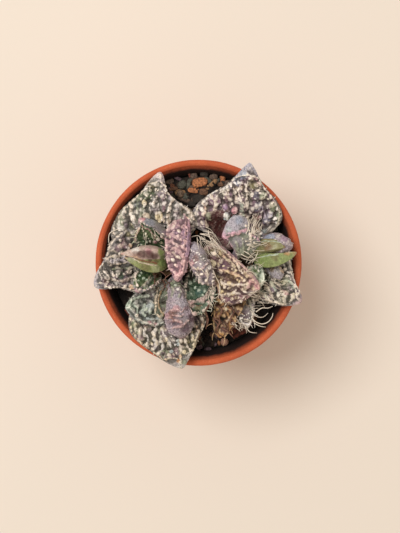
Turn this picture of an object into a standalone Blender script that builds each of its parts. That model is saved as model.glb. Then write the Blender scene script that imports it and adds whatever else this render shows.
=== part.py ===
"""A warty faucaria: two leaf rosettes in a small clay pot, modelled in metres with +Z up.

The pot stands on z = 0 with its axis on the origin. All sizes below are in millimetres and
are turned into metres where the meshes are made.
"""
import math
import random

import bmesh
import bpy
from mathutils import Matrix, Vector
from mathutils.bvhtree import BVHTree

MM = 0.001

# Clay pot
RIM_RADIUS = 42.5
RIM_HEIGHT = 78.0
COLLAR_DEPTH = 14.0
COLLAR_STEP = 2.2
WALL = 3.3
WALL_FLARE = 0.6
LIP_ROUND = 1.0
FOOT_RADIUS = 28.5
FLOOR_THICKNESS = 5.0
DRAIN_RADIUS = 5.5
POT_SIDES = 40

# Soil
GAP = 0.3
SOIL_TOP = 66.5
SOIL_RINGS = (10.0, 20.0, 28.5)
HEAP_CENTRE = (2.0, 30.0)
HEAP_RADIUS = 15.0
HEAP_HEIGHT = 4.5
GRAIN_RELIEF = 1.1
STONE_GAP = 0.4
CHIP_COUNT = 14
CHIP_BEARINGS = (88, 95, 102, 300, 284, 216)
CHIP_SIZES = ((1.4, 3.6), (1.2, 2.4), (1.0, 1.8))

# Stems
STEM_RADIUS = 4.0
STEM_FOOT = 58.0
STEM_TOP = 80.0
STEM_SIDES = 12

# Leaves
NOSE = 0.14
FOOT = 0.08
KEEL_CURVE = 1.6
KEEL_POWER = 0.8
FOOT_ROWS = 2
FOOT_SHARE = 0.2
MARGIN_SCALLOP = 0.05
CLEARANCE = 0.34
SHAPING_GAP = 0.45
LEAF_REACH = 8.0
WELDS = (0.03, 0.02, 0.01, 0.004, 0.0)

# Warts
BARE_FROM = 0.86
BARE_FADE = 0.12
WART_SPREAD = 0.24
FURROW_WART = 0.12
LOW_KNOB = 0.25

# Teeth
TOOTH_ROOT = 0.55
TOOTH_TIP = 0.18
TOOTH_SUNK = 1.0
TOOTH_FROM = 0.36
TOOTH_TO = 0.88
TOOTH_RISES = (35, 60, 85)

STEMS = {
    "left": (-13.0, -1.0),
    "right": (21.5, 4.5),
}

# Each leaf: the spine's base, bend and tip (x, y, z), half widths to its right and left, the depth
# of its keel and the height of its face above the margins at the five stations, the roll about the
# spine in degrees, rows and columns of the skin's face (and the columns of its underside), the height
# of its warts, and the number and length of the teeth on each margin. A crown under 2 gives its face
# a sharper ridge along the spine.
LEAVES = {
    "bud_left_north": dict(
        base=(-14.0, 2.8, 84.0), bend=(-20.5, 4.6, 92.5), tip=(-31.0, 3.4, 94.0),
        right=(2.8, 3.6, 3.4, 2.0, 0.5), left=(2.6, 3.4, 3.2, 1.9, 0.5),
        keel=(3.0, 4.4, 4.4, 2.6, 0.8), face=(0.0, 0.0, 0.0, 0.0, 0.0),
        roll=200, skin=(12, 4), under=6, warts=0.0, teeth=(1, 1.6)),
    "bud_left_south": dict(
        base=(-14.0, 0.4, 83.0), bend=(-20.0, -1.6, 90.5), tip=(-29.6, 2.2, 92.5),
        right=(2.6, 3.4, 3.4, 2.2, 0.5), left=(2.6, 3.8, 3.8, 2.3, 0.5),
        keel=(3.0, 4.6, 4.6, 2.8, 0.8), face=(0.0, 0.0, 0.0, 0.0, 0.0),
        roll=130, skin=(12, 4), under=6, warts=0.0, teeth=(1, 1.4)),
    "bud_right_north": dict(
        base=(23.0, 5.8, 83.0), bend=(28.0, 7.4, 91.5), tip=(35.0, 6.4, 92.5),
        right=(2.8, 3.3, 3.3, 2.8, 1.4), left=(2.8, 3.3, 3.4, 2.8, 1.4),
        keel=(3.0, 4.2, 4.2, 3.0, 1.4), face=(0.0, 0.0, 0.0, 0.0, 0.0),
        roll=-150, skin=(12, 4), under=6, warts=0.0, teeth=(1, 1.4)),
    "bud_right_south": dict(
        base=(23.4, 2.2, 83.0), bend=(30.5, 0.4, 89.5), tip=(38.8, 4.2, 95.0),
        right=(2.6, 3.6, 3.8, 2.8, 1.5), left=(2.6, 3.4, 3.2, 2.6, 1.5),
        keel=(3.0, 4.2, 4.2, 3.0, 1.4), face=(0.0, 0.0, 0.0, 0.0, 0.0),
        roll=-125, skin=(12, 4), under=6, warts=0.0, teeth=(1, 1.4)),
    "leaf_left_northwest": dict(
        base=(-11.5, 6.5, 79.0), bend=(-16.5, 11.0, 93.0), tip=(-23.6, 17.6, 92.5),
        right=(2.4, 2.4, 2.0, 1.8, 1.2), left=(5.0, 10.5, 11.0, 8.0, 2.0),
        keel=(4.0, 6.0, 6.0, 4.6, 2.4), face=(0.0, -1.2, -1.6, -0.8, 0.6),
        roll=-42, skin=(14, 8), warts=0.9, teeth=(2, 2.8)),
    "leaf_left_small_southwest": dict(
        base=(-16.0, -3.5, 78.0), bend=(-21.0, -5.0, 87.5), tip=(-24.8, -12.0, 90.0),
        right=(3.0, 5.2, 5.6, 4.4, 1.8), left=(3.0, 4.4, 4.6, 3.6, 1.6),
        keel=(3.0, 5.0, 5.0, 4.0, 2.0), face=(0.0, -1.2, -1.4, -0.8, 0.6),
        roll=10, skin=(12, 6), warts=0.8, teeth=(2, 2.6)),
    "leaf_left_across": dict(
        base=(-7.0, 19.0, 78.0), bend=(-6.2, 7.0, 97.5), tip=(-8.4, -7.4, 91.0),
        right=(5.0, 7.2, 7.0, 5.8, 2.6), left=(3.4, 3.6, 3.2, 2.8, 1.8),
        keel=(4.0, 6.5, 7.0, 6.0, 3.0), face=(0.2, 0.4, 0.2, 0.2, 0.8),
        roll=24, skin=(18, 8), warts=1.3, teeth=(3, 2.8)),
    "leaf_left_keel_south": dict(
        base=(-9.4, -6.6, 80.0), bend=(-9.4, -16.0, 97.0), tip=(-6.4, -29.6, 85.0),
        right=(2.4, 2.9, 4.0, 5.6, 3.6), left=(2.4, 2.9, 4.0, 5.6, 3.6),
        keel=(3.0, 4.0, 4.8, 5.0, 3.2), face=(0.0, 0.0, 0.0, 0.0, 0.0),
        roll=180, skin=(14, 4), under=6, warts=0.0, teeth=(2, 2.6)),
    "leaf_left_cupped": dict(
        base=(-13.0, -7.0, 78.0), bend=(-16.0, -13.5, 86.0), tip=(-15.4, -22.4, 88.0),
        right=(2.4, 2.8, 2.8, 2.6, 1.6), left=(3.0, 4.0, 4.0, 3.4, 1.8),
        keel=(3.0, 5.0, 5.0, 4.2, 2.2), face=(0.0, -1.4, -1.8, -1.0, 0.4),
        roll=14, skin=(12, 6), warts=0.7, teeth=(2, 2.4)),
    "leaf_left_hollow_south": dict(
        base=(0.0, -1.5, 79.0), bend=(1.0, -12.0, 87.5), tip=(-3.0, -21.4, 89.5),
        right=(3.5, 5.6, 6.0, 4.6, 2.0), left=(3.5, 6.4, 7.2, 5.6, 2.2),
        keel=(3.5, 5.5, 6.0, 5.0, 2.6), face=(0.0, -1.8, -2.2, -1.4, 0.4),
        roll=0, skin=(14, 8), warts=0.9, teeth=(3, 3.0)),
    "leaf_left_keel_middle": dict(
        base=(-2.0, 6.0, 82.0), bend=(-0.6, -0.5, 97.0), tip=(5.6, -8.4, 88.0),
        right=(2.8, 3.5, 3.7, 3.2, 1.8), left=(2.8, 3.5, 3.7, 3.2, 1.8),
        keel=(3.0, 4.6, 5.0, 4.2, 2.4), face=(0.0, 0.0, 0.0, 0.0, 0.0),
        roll=170, skin=(14, 4), under=6, warts=0.0, teeth=(2, 2.6)),
    "leaf_right_across": dict(
        base=(3.6, 8.0, 80.0), bend=(12.2, 0.8, 92.5), tip=(24.4, -10.4, 91.5),
        right=(5.0, 7.8, 11.0, 14.6, 11.5), left=(0.8, 2.8, 2.8, 2.6, 1.8),
        keel=(4.0, 6.5, 7.0, 6.0, 3.0), face=(0.2, 0.6, 0.6, 0.4, 0.8),
        roll=16, skin=(20, 10), warts=1.4, teeth=(3, 3.0)),
    "leaf_right_northwest": dict(
        base=(27.5, 4.5, 80.0), bend=(21.0, 16.4, 90.0), tip=(9.4, 10.4, 92.5),
        right=(3.0, 3.4, 4.4, 6.8, 1.6), left=(6.5, 14.5, 15.4, 10.5, 2.2),
        keel=(4.0, 5.0, 5.4, 4.4, 2.2), face=(0.0, 5.0, 6.0, 4.0, 0.6),
        roll=-14, crown=1.15, skin=(14, 8), warts=0.9, teeth=(2, 2.8)),
    "leaf_right_east": dict(
        base=(26.0, 7.6, 79.0), bend=(31.4, 9.0, 91.0), tip=(37.2, 5.6, 90.5),
        right=(2.8, 3.4, 3.5, 2.9, 1.5), left=(2.8, 3.4, 3.5, 2.9, 1.5),
        keel=(3.0, 4.2, 4.2, 3.4, 1.7), face=(0.0, 0.0, 0.0, 0.0, 0.0),
        roll=160, skin=(12, 4), under=6, warts=0.0, teeth=(2, 2.6)),
    "leaf_right_mint": dict(
        base=(22.0, -1.0, 79.0), bend=(23.6, -4.0, 88.0), tip=(24.8, -9.6, 88.0),
        right=(2.6, 3.2, 3.2, 2.6, 1.6), left=(2.6, 3.2, 3.2, 2.6, 1.6),
        keel=(2.4, 3.6, 4.0, 3.2, 1.8), face=(0.2, 0.3, 0.3, 0.3, 0.6),
        roll=0, skin=(10, 6), warts=0.6, teeth=(2, 2.2)),
    "leaf_right_ridge": dict(
        base=(28.5, -1.5, 78.0), bend=(32.0, -4.0, 87.5), tip=(32.6, -6.6, 86.5),
        right=(1.4, 1.8, 1.9, 1.6, 1.0), left=(1.4, 1.8, 1.9, 1.6, 1.0),
        keel=(2.0, 2.8, 3.0, 2.4, 1.4), face=(0.0, 0.0, 0.0, 0.0, 0.0),
        roll=180, skin=(10, 4), under=6, warts=0.0, teeth=(2, 2.2)),
    "leaf_right_west": dict(
        base=(17.5, 9.0, 76.0), bend=(9.5, 14.5, 82.5), tip=(3.4, 19.6, 86.0),
        right=(5.0, 7.0, 7.0, 5.4, 2.4), left=(5.0, 7.0, 6.4, 5.0, 2.4),
        keel=(4.0, 6.5, 7.0, 5.4, 2.8), face=(0.0, -2.0, -2.4, -1.4, 0.4),
        roll=0, skin=(14, 8), warts=1.0, teeth=(3, 3.2)),
    "leaf_left_southwest": dict(
        base=(-13.5, -9.5, 76.5), bend=(-20.0, -17.0, 84.5), tip=(-29.4, -18.4, 86.5),
        right=(4.0, 6.0, 6.4, 4.6, 2.4), left=(4.0, 11.0, 11.6, 8.0, 2.6),
        keel=(4.0, 6.5, 7.0, 5.0, 3.0), face=(0.4, 0.8, 1.0, 0.8, 0.8),
        roll=0, skin=(16, 10), warts=1.3, teeth=(3, 2.6)),
    "leaf_right_small_south": dict(
        base=(20.6, -2.0, 74.0), bend=(18.8, -17.0, 80.5), tip=(19.8, -27.0, 79.0),
        right=(2.8, 3.6, 3.6, 3.0, 1.6), left=(2.8, 3.6, 3.6, 3.0, 1.6),
        keel=(2.4, 3.6, 3.8, 3.0, 1.8), face=(0.0, -0.8, -1.0, -0.6, 0.2),
        roll=0, skin=(10, 6), warts=0.6, teeth=(3, 5.4)),
    "leaf_right_dried": dict(
        base=(19.4, 0.8, 74.5), bend=(12.2, -18.0, 83.5), tip=(8.2, -30.6, 79.5),
        right=(4.0, 5.6, 6.4, 4.8, 2.4), left=(4.0, 6.0, 5.6, 4.2, 2.2),
        keel=(3.0, 3.8, 3.6, 3.0, 1.8), face=(0.2, 0.4, 0.4, 0.2, 0.2),
        roll=-6, skin=(18, 8), warts=1.3, teeth=(3, 3.6)),
    "leaf_left_north": dict(
        base=(-14.0, 4.0, 76.0), bend=(-18.5, 20.0, 82.0), tip=(-15.4, 36.6, 84.0),
        right=(7.0, 15.0, 14.2, 4.4, 1.8), left=(8.0, 19.6, 16.4, 6.8, 2.6),
        keel=(6.0, 8.5, 9.0, 7.0, 4.6), face=(-1.5, -1.5, 1.6, 0.8, 1.2),
        roll=0, skin=(18, 16), warts=2.0, teeth=(4, 3.8)),
    "leaf_left_west": dict(
        base=(-15.5, -0.5, 76.0), bend=(-29.0, -1.5, 82.0), tip=(-42.0, -9.6, 84.5),
        right=(7.0, 16.0, 15.4, 7.4, 3.4), left=(7.0, 12.0, 9.4, 4.6, 2.8),
        keel=(6.0, 8.5, 9.0, 6.5, 4.6), face=(-1.5, -1.8, 1.2, 0.8, 1.2),
        roll=0, skin=(16, 14), warts=1.9, teeth=(4, 3.6)),
    "leaf_left_south": dict(
        base=(-12.0, -8.0, 76.0), bend=(-13.0, -26.0, 81.0), tip=(-6.4, -42.6, 86.0),
        right=(7.0, 15.0, 17.0, 9.6, 3.0), left=(7.0, 13.6, 14.4, 9.0, 2.8),
        keel=(6.0, 8.5, 9.0, 7.0, 4.6), face=(-1.0, -0.5, 1.2, 0.8, 1.2),
        roll=0, skin=(18, 16), warts=2.0, teeth=(4, 3.8)),
    "leaf_right_north": dict(
        base=(21.0, 9.0, 76.0), bend=(19.5, 24.0, 82.0), tip=(20.6, 40.2, 86.5),
        right=(7.0, 13.6, 12.0, 5.6, 2.0), left=(9.0, 22.4, 20.6, 8.0, 2.0),
        keel=(6.0, 8.5, 9.0, 7.0, 4.6), face=(-1.5, -2.0, 1.4, 0.8, 1.2),
        roll=0, skin=(18, 16), warts=2.0, teeth=(4, 3.8)),
    "leaf_right_southeast": dict(
        base=(25.0, 0.5, 76.0), bend=(33.0, -6.0, 81.5), tip=(41.2, -16.2, 85.5),
        right=(6.0, 10.4, 11.4, 8.6, 3.8), left=(7.0, 11.6, 6.8, 3.2, 2.4),
        keel=(6.0, 8.0, 8.0, 6.0, 4.2), face=(-1.0, -0.5, 1.0, 0.8, 1.2),
        roll=0, skin=(14, 12), warts=1.7, teeth=(4, 4.6)),
}

# Each stone: its place, half sizes along its own axes, and the turn about z in degrees
STONES = {
    "stone_round": dict(
        at=(10.8, -33.0), size=(2.0, 1.9, 1.7), turn=20, flat=False, finish="stone"),
    "stone_tan_left": dict(
        at=(-7.6, 28.6), size=(2.2, 1.7, 1.5), turn=65, flat=False, finish="stone"),
    "stone_tan_right": dict(
        at=(9.2, 32.8), size=(1.9, 1.5, 1.4), turn=-30, flat=False, finish="stone"),
    "shard": dict(
        at=(16.6, -28.6), size=(3.3, 2.0, 0.9), turn=30, flat=True, finish="shard"),
}

COLOURS = {
    "clay": ((0.62, 0.19, 0.09, 1.0), 0.85),
    "soil": ((0.045, 0.03, 0.022, 1.0), 0.95),
    "stem": ((0.16, 0.11, 0.06, 1.0), 0.8),
    "stone": ((0.55, 0.42, 0.33, 1.0), 0.8),
    "shard": ((0.5, 0.17, 0.09, 1.0), 0.85),
    "leaf": ((0.34, 0.36, 0.26, 1.0), 0.55),
    "keel": ((0.42, 0.38, 0.42, 1.0), 0.5),
    "young": ((0.22, 0.27, 0.10, 1.0), 0.3),
    "dried": ((0.34, 0.22, 0.11, 1.0), 0.8),
}


def clear_scene():
    for old in list(bpy.data.objects):
        bpy.data.objects.remove(old, do_unlink=True)


def material(name):
    found = bpy.data.materials.get(name)
    if found:
        return found
    colour, roughness = COLOURS[name]
    made = bpy.data.materials.new(name)
    made.use_nodes = True
    shader = made.node_tree.nodes["Principled BSDF"]
    shader.inputs["Base Color"].default_value = colour
    shader.inputs["Roughness"].default_value = roughness
    shader.inputs["Metallic"].default_value = 0.0
    made.diffuse_color = colour
    return made


def add_object(name, mesh, finish=None, location=(0, 0, 0)):
    made = bpy.data.objects.new(name, mesh)
    made.location = Vector(location) * MM
    bpy.context.collection.objects.link(made)
    if finish:
        mesh.materials.append(material(finish))
    return made


def mesh_from(work, name):
    mesh = bpy.data.meshes.new(name)
    work.to_mesh(mesh)
    work.free()
    return mesh


def apply_modifiers(obj):
    graph = bpy.context.evaluated_depsgraph_get()
    shaped = bpy.data.meshes.new_from_object(obj.evaluated_get(graph))
    obj.modifiers.clear()
    obj.data = shaped


def boolean(obj, others, operation):
    """Joins the others to the object, or cuts them from it, and removes them."""
    if not others:
        return
    group = bpy.data.collections.new("operands")
    for other in others:
        for owner in other.users_collection:
            owner.objects.unlink(other)
        group.objects.link(other)
    bpy.context.scene.collection.children.link(group)
    step = obj.modifiers.new("cut", "BOOLEAN")
    step.operation = operation
    step.operand_type = "COLLECTION"
    step.collection = group
    step.solver = "MANIFOLD"
    apply_modifiers(obj)
    for other in list(group.objects):
        bpy.data.objects.remove(other, do_unlink=True)
    bpy.data.collections.remove(group)


def drop_scraps(work):
    """Keeps only the largest of the separate bits of a skin."""
    unseen = set(work.verts)
    islands = []
    while unseen:
        todo = [unseen.pop()]
        island = list(todo)
        while todo:
            for edge in todo.pop().link_edges:
                for vert in edge.verts:
                    if vert in unseen:
                        unseen.remove(vert)
                        todo.append(vert)
                        island.append(vert)
        islands.append(island)
    islands.sort(key=len, reverse=True)
    for island in islands[1:]:
        bmesh.ops.delete(work, geom=island, context="VERTS")


def tidy_skin(obj):
    """Drops the scraps that a cut leaves and welds its slivers, as far as the skin stays closed."""
    for weld in WELDS:
        work = bmesh.new()
        work.from_mesh(obj.data)
        drop_scraps(work)
        bmesh.ops.remove_doubles(work, verts=work.verts, dist=weld * MM)
        bmesh.ops.dissolve_degenerate(work, edges=work.edges, dist=weld * MM)
        bmesh.ops.triangulate(work, faces=work.faces)
        drop_scraps(work)
        if all(edge.is_manifold for edge in work.edges):
            work.to_mesh(obj.data)
            work.free()
            return
        work.free()


def turned(name, profile, finish, ring=False):
    """A profile of (radius, height) points turned about z; a ring's profile is a closed loop."""
    mesh = bpy.data.meshes.new(name)
    points = [(radius * MM, 0.0, height * MM) for radius, height in profile]
    edges = [(i, i + 1) for i in range(len(points) - 1)]
    if ring:
        edges.append((len(points) - 1, 0))
    mesh.from_pydata(points, edges, [])
    obj = add_object(name, mesh, finish)
    screw = obj.modifiers.new("turn", "SCREW")
    screw.steps = POT_SIDES
    screw.render_steps = POT_SIDES
    screw.use_merge_vertices = True
    screw.merge_threshold = 0.0001
    apply_modifiers(obj)
    work = bmesh.new()
    work.from_mesh(obj.data)
    bmesh.ops.remove_doubles(work, verts=work.verts, dist=0.01 * MM)
    bmesh.ops.triangulate(work, faces=work.faces)
    bmesh.ops.recalc_face_normals(work, faces=work.faces)
    work.to_mesh(obj.data)
    work.free()
    return obj


def wall_inside(height):
    """The radius of the pot's inner wall at a height."""
    low = FOOT_RADIUS - WALL
    high = RIM_RADIUS - WALL - WALL_FLARE
    share = (height - FLOOR_THICKNESS) / (RIM_HEIGHT - FLOOR_THICKNESS)
    return low + (high - low) * share


def make_pot():
    """A tapered clay pot with a plain collar, a rounded lip and one drain hole."""
    under_collar = RIM_HEIGHT - COLLAR_DEPTH
    inner = RIM_RADIUS - WALL + 0.5
    profile = [
        (inner + LIP_ROUND, RIM_HEIGHT),
        (RIM_RADIUS - LIP_ROUND, RIM_HEIGHT),
        (RIM_RADIUS - 0.3, RIM_HEIGHT - 0.5),
        (RIM_RADIUS, RIM_HEIGHT - 1.4),
        (RIM_RADIUS - 0.4, under_collar + 0.8),
        (RIM_RADIUS - 1.1, under_collar),
        (RIM_RADIUS - COLLAR_STEP - 0.6, under_collar - 0.8),
        (FOOT_RADIUS + 0.2, 1.2),
        (FOOT_RADIUS - 0.8, 0.0),
        (DRAIN_RADIUS, 0.0),
        (DRAIN_RADIUS, FLOOR_THICKNESS),
        (wall_inside(FLOOR_THICKNESS), FLOOR_THICKNESS),
        (wall_inside(RIM_HEIGHT - 3.0), RIM_HEIGHT - 3.0),
        (inner, RIM_HEIGHT - LIP_ROUND),
    ]
    return turned("pot", profile, "clay", ring=True)


def draw(row, column, seed):
    """A steady random number from 0 to 1 for one point of a lattice."""
    value = math.sin(row * 12.9898 + column * 78.233 + seed * 37.719) * 43758.5453
    return value - math.floor(value)


def soil_height(x, y):
    """The level of the soil: nearly flat, with a heap of bark and grit behind the leaves."""
    away = math.hypot(x - HEAP_CENTRE[0], y - HEAP_CENTRE[1]) / HEAP_RADIUS
    return SOIL_TOP + HEAP_HEIGHT * max(0.0, 1.0 - away * away)


def make_soil():
    """The fill of the pot, with a gritty top and plain holes for the stems."""
    edge = wall_inside(SOIL_TOP) - GAP
    profile = [(radius, SOIL_TOP) for radius in (0.0, *SOIL_RINGS, edge)]
    profile += [(wall_inside(FLOOR_THICKNESS) - GAP, FLOOR_THICKNESS + GAP), (0.0, FLOOR_THICKNESS + GAP)]
    soil = turned("soil", profile, "soil")
    for i, vert in enumerate(soil.data.vertices):
        x, y = vert.co.x / MM, vert.co.y / MM
        if vert.co.z > 0.5 * SOIL_TOP * MM and math.hypot(x, y) < edge - 1.0:
            grain = GRAIN_RELIEF * (draw(i, 3, 1) - 0.5)
            vert.co.z = (soil_height(x, y) + grain) * MM
    chance = random.Random(4)
    chips = []
    while len(chips) < CHIP_COUNT:
        angle = chance.choice(CHIP_BEARINGS) + chance.uniform(-14, 14)
        reach = chance.uniform(24, 34)
        x, y = reach * math.cos(math.radians(angle)), reach * math.sin(math.radians(angle))
        work = bmesh.new()
        bmesh.ops.create_cube(work, size=1.0)
        size = [chance.uniform(low, high) for low, high in CHIP_SIZES]
        bmesh.ops.scale(work, verts=work.verts, vec=size)
        turn = Matrix.Rotation(chance.uniform(0, 2 * math.pi), 3, "Z")
        lean = Matrix.Rotation(chance.uniform(-0.4, 0.4), 3, "X")
        bmesh.ops.rotate(work, verts=work.verts, matrix=turn @ lean)
        bmesh.ops.scale(work, verts=work.verts, vec=(MM, MM, MM))
        bmesh.ops.triangulate(work, faces=work.faces)
        chips.append(add_object("chip", mesh_from(work, "chip"), None, (x, y, soil_height(x, y) + 0.1)))
    boolean(soil, chips, "UNION")
    boolean(soil, [stem_core("hole", place, GAP) for place in STEMS.values()], "DIFFERENCE")
    tidy_skin(soil)
    return soil


def stem_core(name, place, more=0.0):
    """The short woody stem, or the plain hole for it where it is made larger."""
    bpy.ops.mesh.primitive_cylinder_add(
        vertices=STEM_SIDES, radius=(STEM_RADIUS + more) * MM, depth=(STEM_TOP - STEM_FOOT + 2 * more) * MM,
        location=(place[0] * MM, place[1] * MM, 0.5 * (STEM_TOP + STEM_FOOT) * MM))
    stem = bpy.context.object
    stem.name = name
    work = bmesh.new()
    work.from_mesh(stem.data)
    bmesh.ops.triangulate(work, faces=work.faces)
    work.to_mesh(stem.data)
    work.free()
    return stem


def at_station(values, u):
    """A smooth reading between the five station values."""
    spot = min(max(u, 0.0), 1.0) * (len(values) - 1)
    low = min(int(spot), len(values) - 2)
    t = spot - low
    a = values[max(low - 1, 0)]
    b, c = values[low], values[low + 1]
    d = values[min(low + 2, len(values) - 1)]
    slope_b, slope_c = 0.5 * (c - a), 0.5 * (d - b)
    t2, t3 = t * t, t * t * t
    levels = b * (2 * t3 - 3 * t2 + 1) + c * (3 * t2 - 2 * t3)
    return levels + slope_b * (t3 - 2 * t2 + t) + slope_c * (t3 - t2)


def spine_frame(leaf, u):
    """The point of the spine, its direction, the side and the face normal at a station."""
    base, bend, tip = (Vector(leaf[key]) for key in ("base", "bend", "tip"))
    point = base * (1 - u) ** 2 + bend * 2 * u * (1 - u) + tip * u * u
    along = ((bend - base) * (1 - u) + (tip - bend) * u).normalized()
    side = along.cross(Vector((0, 0, 1))).normalized()
    normal = side.cross(along).normalized()
    turn = Matrix.Rotation(math.radians(leaf["roll"]), 3, along)
    return point, along, turn @ side, turn @ normal


def closing(u):
    """Rounds the nose and the foot of a leaf."""
    nose = max(0.0, (u - 1 + NOSE) / NOSE)
    foot = max(0.0, (FOOT - u) / FOOT)
    return math.sqrt(max(0.0, 1 - nose * nose)) * math.sqrt(max(0.0, 1 - foot * foot))


def leaf_point(leaf, u, s, on_face, raised=0.0):
    """A point of the leaf's skin: s runs from -1 at the left margin to 1 at the right one."""
    point, along, side, normal = spine_frame(leaf, u)
    shut = closing(u)
    half = at_station(leaf["right"] if s > 0 else leaf["left"], u) * shut
    if on_face:
        height = at_station(leaf["face"], u) * shut * (1 - abs(s) ** leaf.get("crown", 2)) + raised
    else:
        height = -at_station(leaf["keel"], u) * shut * (1 - abs(s) ** KEEL_CURVE) ** KEEL_POWER
    return point + side * (half * s) + normal * height


def row_station(row, rows):
    """The station of a row: the hidden foot of a leaf takes only two rows of the skin."""
    if row < FOOT_ROWS:
        return FOOT_SHARE * row / FOOT_ROWS
    return FOOT_SHARE + (1 - FOOT_SHARE) * (row - FOOT_ROWS) / (rows - FOOT_ROWS)


def wart_height(leaf, row, step, seed):
    """Warts stand in ridges that run along the leaf: every second column is a ridge with knobs on it."""
    rows, columns = leaf["skin"]
    u = row_station(row, rows)
    bare = max(0.0, min(1.0, (BARE_FROM - u - 0.1 * abs(1 - 2 * step / columns)) / BARE_FADE))
    if step % 2:
        return FURROW_WART * leaf["warts"] * bare * draw(row, step, seed)
    knob = 1.0 if (row + step // 2) % 2 == 0 else LOW_KNOB
    return leaf["warts"] * bare * knob * (0.6 + 0.5 * draw(row, step, seed))


def leaf_skin(leaf, seed, grow=0.0):
    """The closed, warty skin of one leaf, shaped from a sphere whose poles are its foot and its nose."""
    rows, columns = leaf["skin"]
    under = leaf.get("under", 4)
    around = columns + under
    work = bmesh.new()
    bmesh.ops.create_uvsphere(work, u_segments=around, v_segments=rows, radius=1.0)
    knobs = set()
    for vert in work.verts:
        row = round(math.acos(max(-1.0, min(1.0, -vert.co.z))) / math.pi * rows)
        step = round(math.atan2(-vert.co.x, vert.co.y) / (2 * math.pi) * around) % around
        u = row_station(row, rows)
        if step > columns:
            vert.co = leaf_point(leaf, u, -1 + 2 * (step - columns) / under, False)
            continue
        s = 1 - 2 * step / columns
        raised = 0.0
        if 0 < step < columns and 0 < row < rows:
            raised = wart_height(leaf, row, step, seed) + leaf.get("level", 0.0)
            u += WART_SPREAD * (draw(row, step, seed + 11) - 0.5) / rows
            s += WART_SPREAD * (draw(row, step, seed + 23) - 0.5) * 2 / columns
        elif 0 < row < rows:
            s *= 1 + MARGIN_SCALLOP * (row % 2)
        if (row + step // 2) % 2 == 0 and step % 2 == 0:
            knobs.add(vert)
        vert.co = leaf_point(leaf, u, s, True, raised)
    for quad in [face for face in work.faces if len(face.verts) == 4]:
        corners = list(quad.verts)
        first = 1 if corners[0] in knobs or corners[2] in knobs else 0
        bmesh.ops.connect_verts(work, verts=[corners[first], corners[first + 2]])
    bmesh.ops.triangulate(work, faces=work.faces)
    bmesh.ops.recalc_face_normals(work, faces=work.faces)
    if grow:
        work.normal_update()
        swell(work, grow)
    return work


def swell(work, grow):
    """Moves a closed skin outward by an even distance."""
    grown = []
    for vert in work.verts:
        reach = grow * min(vert.calc_shell_factor(), 2.0)
        grown.append((vert, vert.co + vert.normal * reach))
    for vert, place in grown:
        vert.co = place


def finished_mesh(work, name, base):
    """Turns the work into a mesh in metres whose origin is the leaf's foot."""
    bmesh.ops.translate(work, verts=work.verts, vec=-Vector(base))
    bmesh.ops.scale(work, verts=work.verts, vec=(MM, MM, MM))
    return mesh_from(work, name)


def tooth_path(leaf, u, edge, length, rise):
    """Three points of a tooth that grows from a margin and hooks back over the face."""
    point, along, side, normal = spine_frame(leaf, u)
    root = leaf_point(leaf, u, edge, True)
    outward = (side * edge * math.cos(rise) + normal * math.sin(rise) + along * 0.35).normalized()
    inward = (normal - side * edge * 0.7).normalized()
    start = root - side * edge * TOOTH_SUNK - normal * 0.5
    middle = root + outward * length * 0.5
    end = root + outward * length * 0.75 + inward * length * 0.4
    return start, middle, end


def tooth_mesh(path):
    """A slim three-sided spike along the path."""
    work = bmesh.new()
    radii = (TOOTH_ROOT, 0.5 * (TOOTH_ROOT + TOOTH_TIP), TOOTH_TIP)
    way = (path[2] - path[0]).normalized()
    across = way.orthogonal().normalized()
    up = way.cross(across)
    rings = []
    for place, radius in zip(path, radii):
        ring = []
        for corner in range(3):
            angle = 2 * math.pi * corner / 3
            offset = across * math.cos(angle) + up * math.sin(angle)
            ring.append(work.verts.new(place + offset * radius))
        rings.append(ring)
    for near, far in zip(rings, rings[1:]):
        for corner in range(3):
            after = (corner + 1) % 3
            work.faces.new((near[corner], near[after], far[after], far[corner]))
    work.faces.new(rings[0][::-1])
    work.faces.new(rings[-1])
    bmesh.ops.triangulate(work, faces=work.faces)
    bmesh.ops.recalc_face_normals(work, faces=work.faces)
    return work


def is_inside(skin, spot):
    """Whether a point lies inside a closed skin: a ray from it then leaves an odd number of times."""
    way = Vector((0.11, 0.07, 1.0)).normalized()
    crossings = 0
    hit = skin.ray_cast(spot, way)[0]
    while hit and crossings < 20:
        crossings += 1
        hit = skin.ray_cast(hit + way * 0.001, way)[0]
    return crossings % 2 == 1


def is_clear(path, others, placed):
    """Whether a tooth keeps clear of the other pieces and of the teeth that already stand."""
    start, middle, end = path
    root = start.lerp(middle, 0.5)
    apart = 2 * TOOTH_ROOT + CLEARANCE
    for share in (0.0, 0.25, 0.5, 0.75, 1.0):
        for low, high in ((root, middle), (middle, end)):
            spot = low.lerp(high, share)
            for skin in others:
                away = skin.find_nearest(spot)[3]
                if away < TOOTH_ROOT + CLEARANCE or (away < LEAF_REACH and is_inside(skin, spot)):
                    return False
            for other in placed:
                if min((spot - other_spot).length for other_spot in other) < apart:
                    return False
    return True


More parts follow.
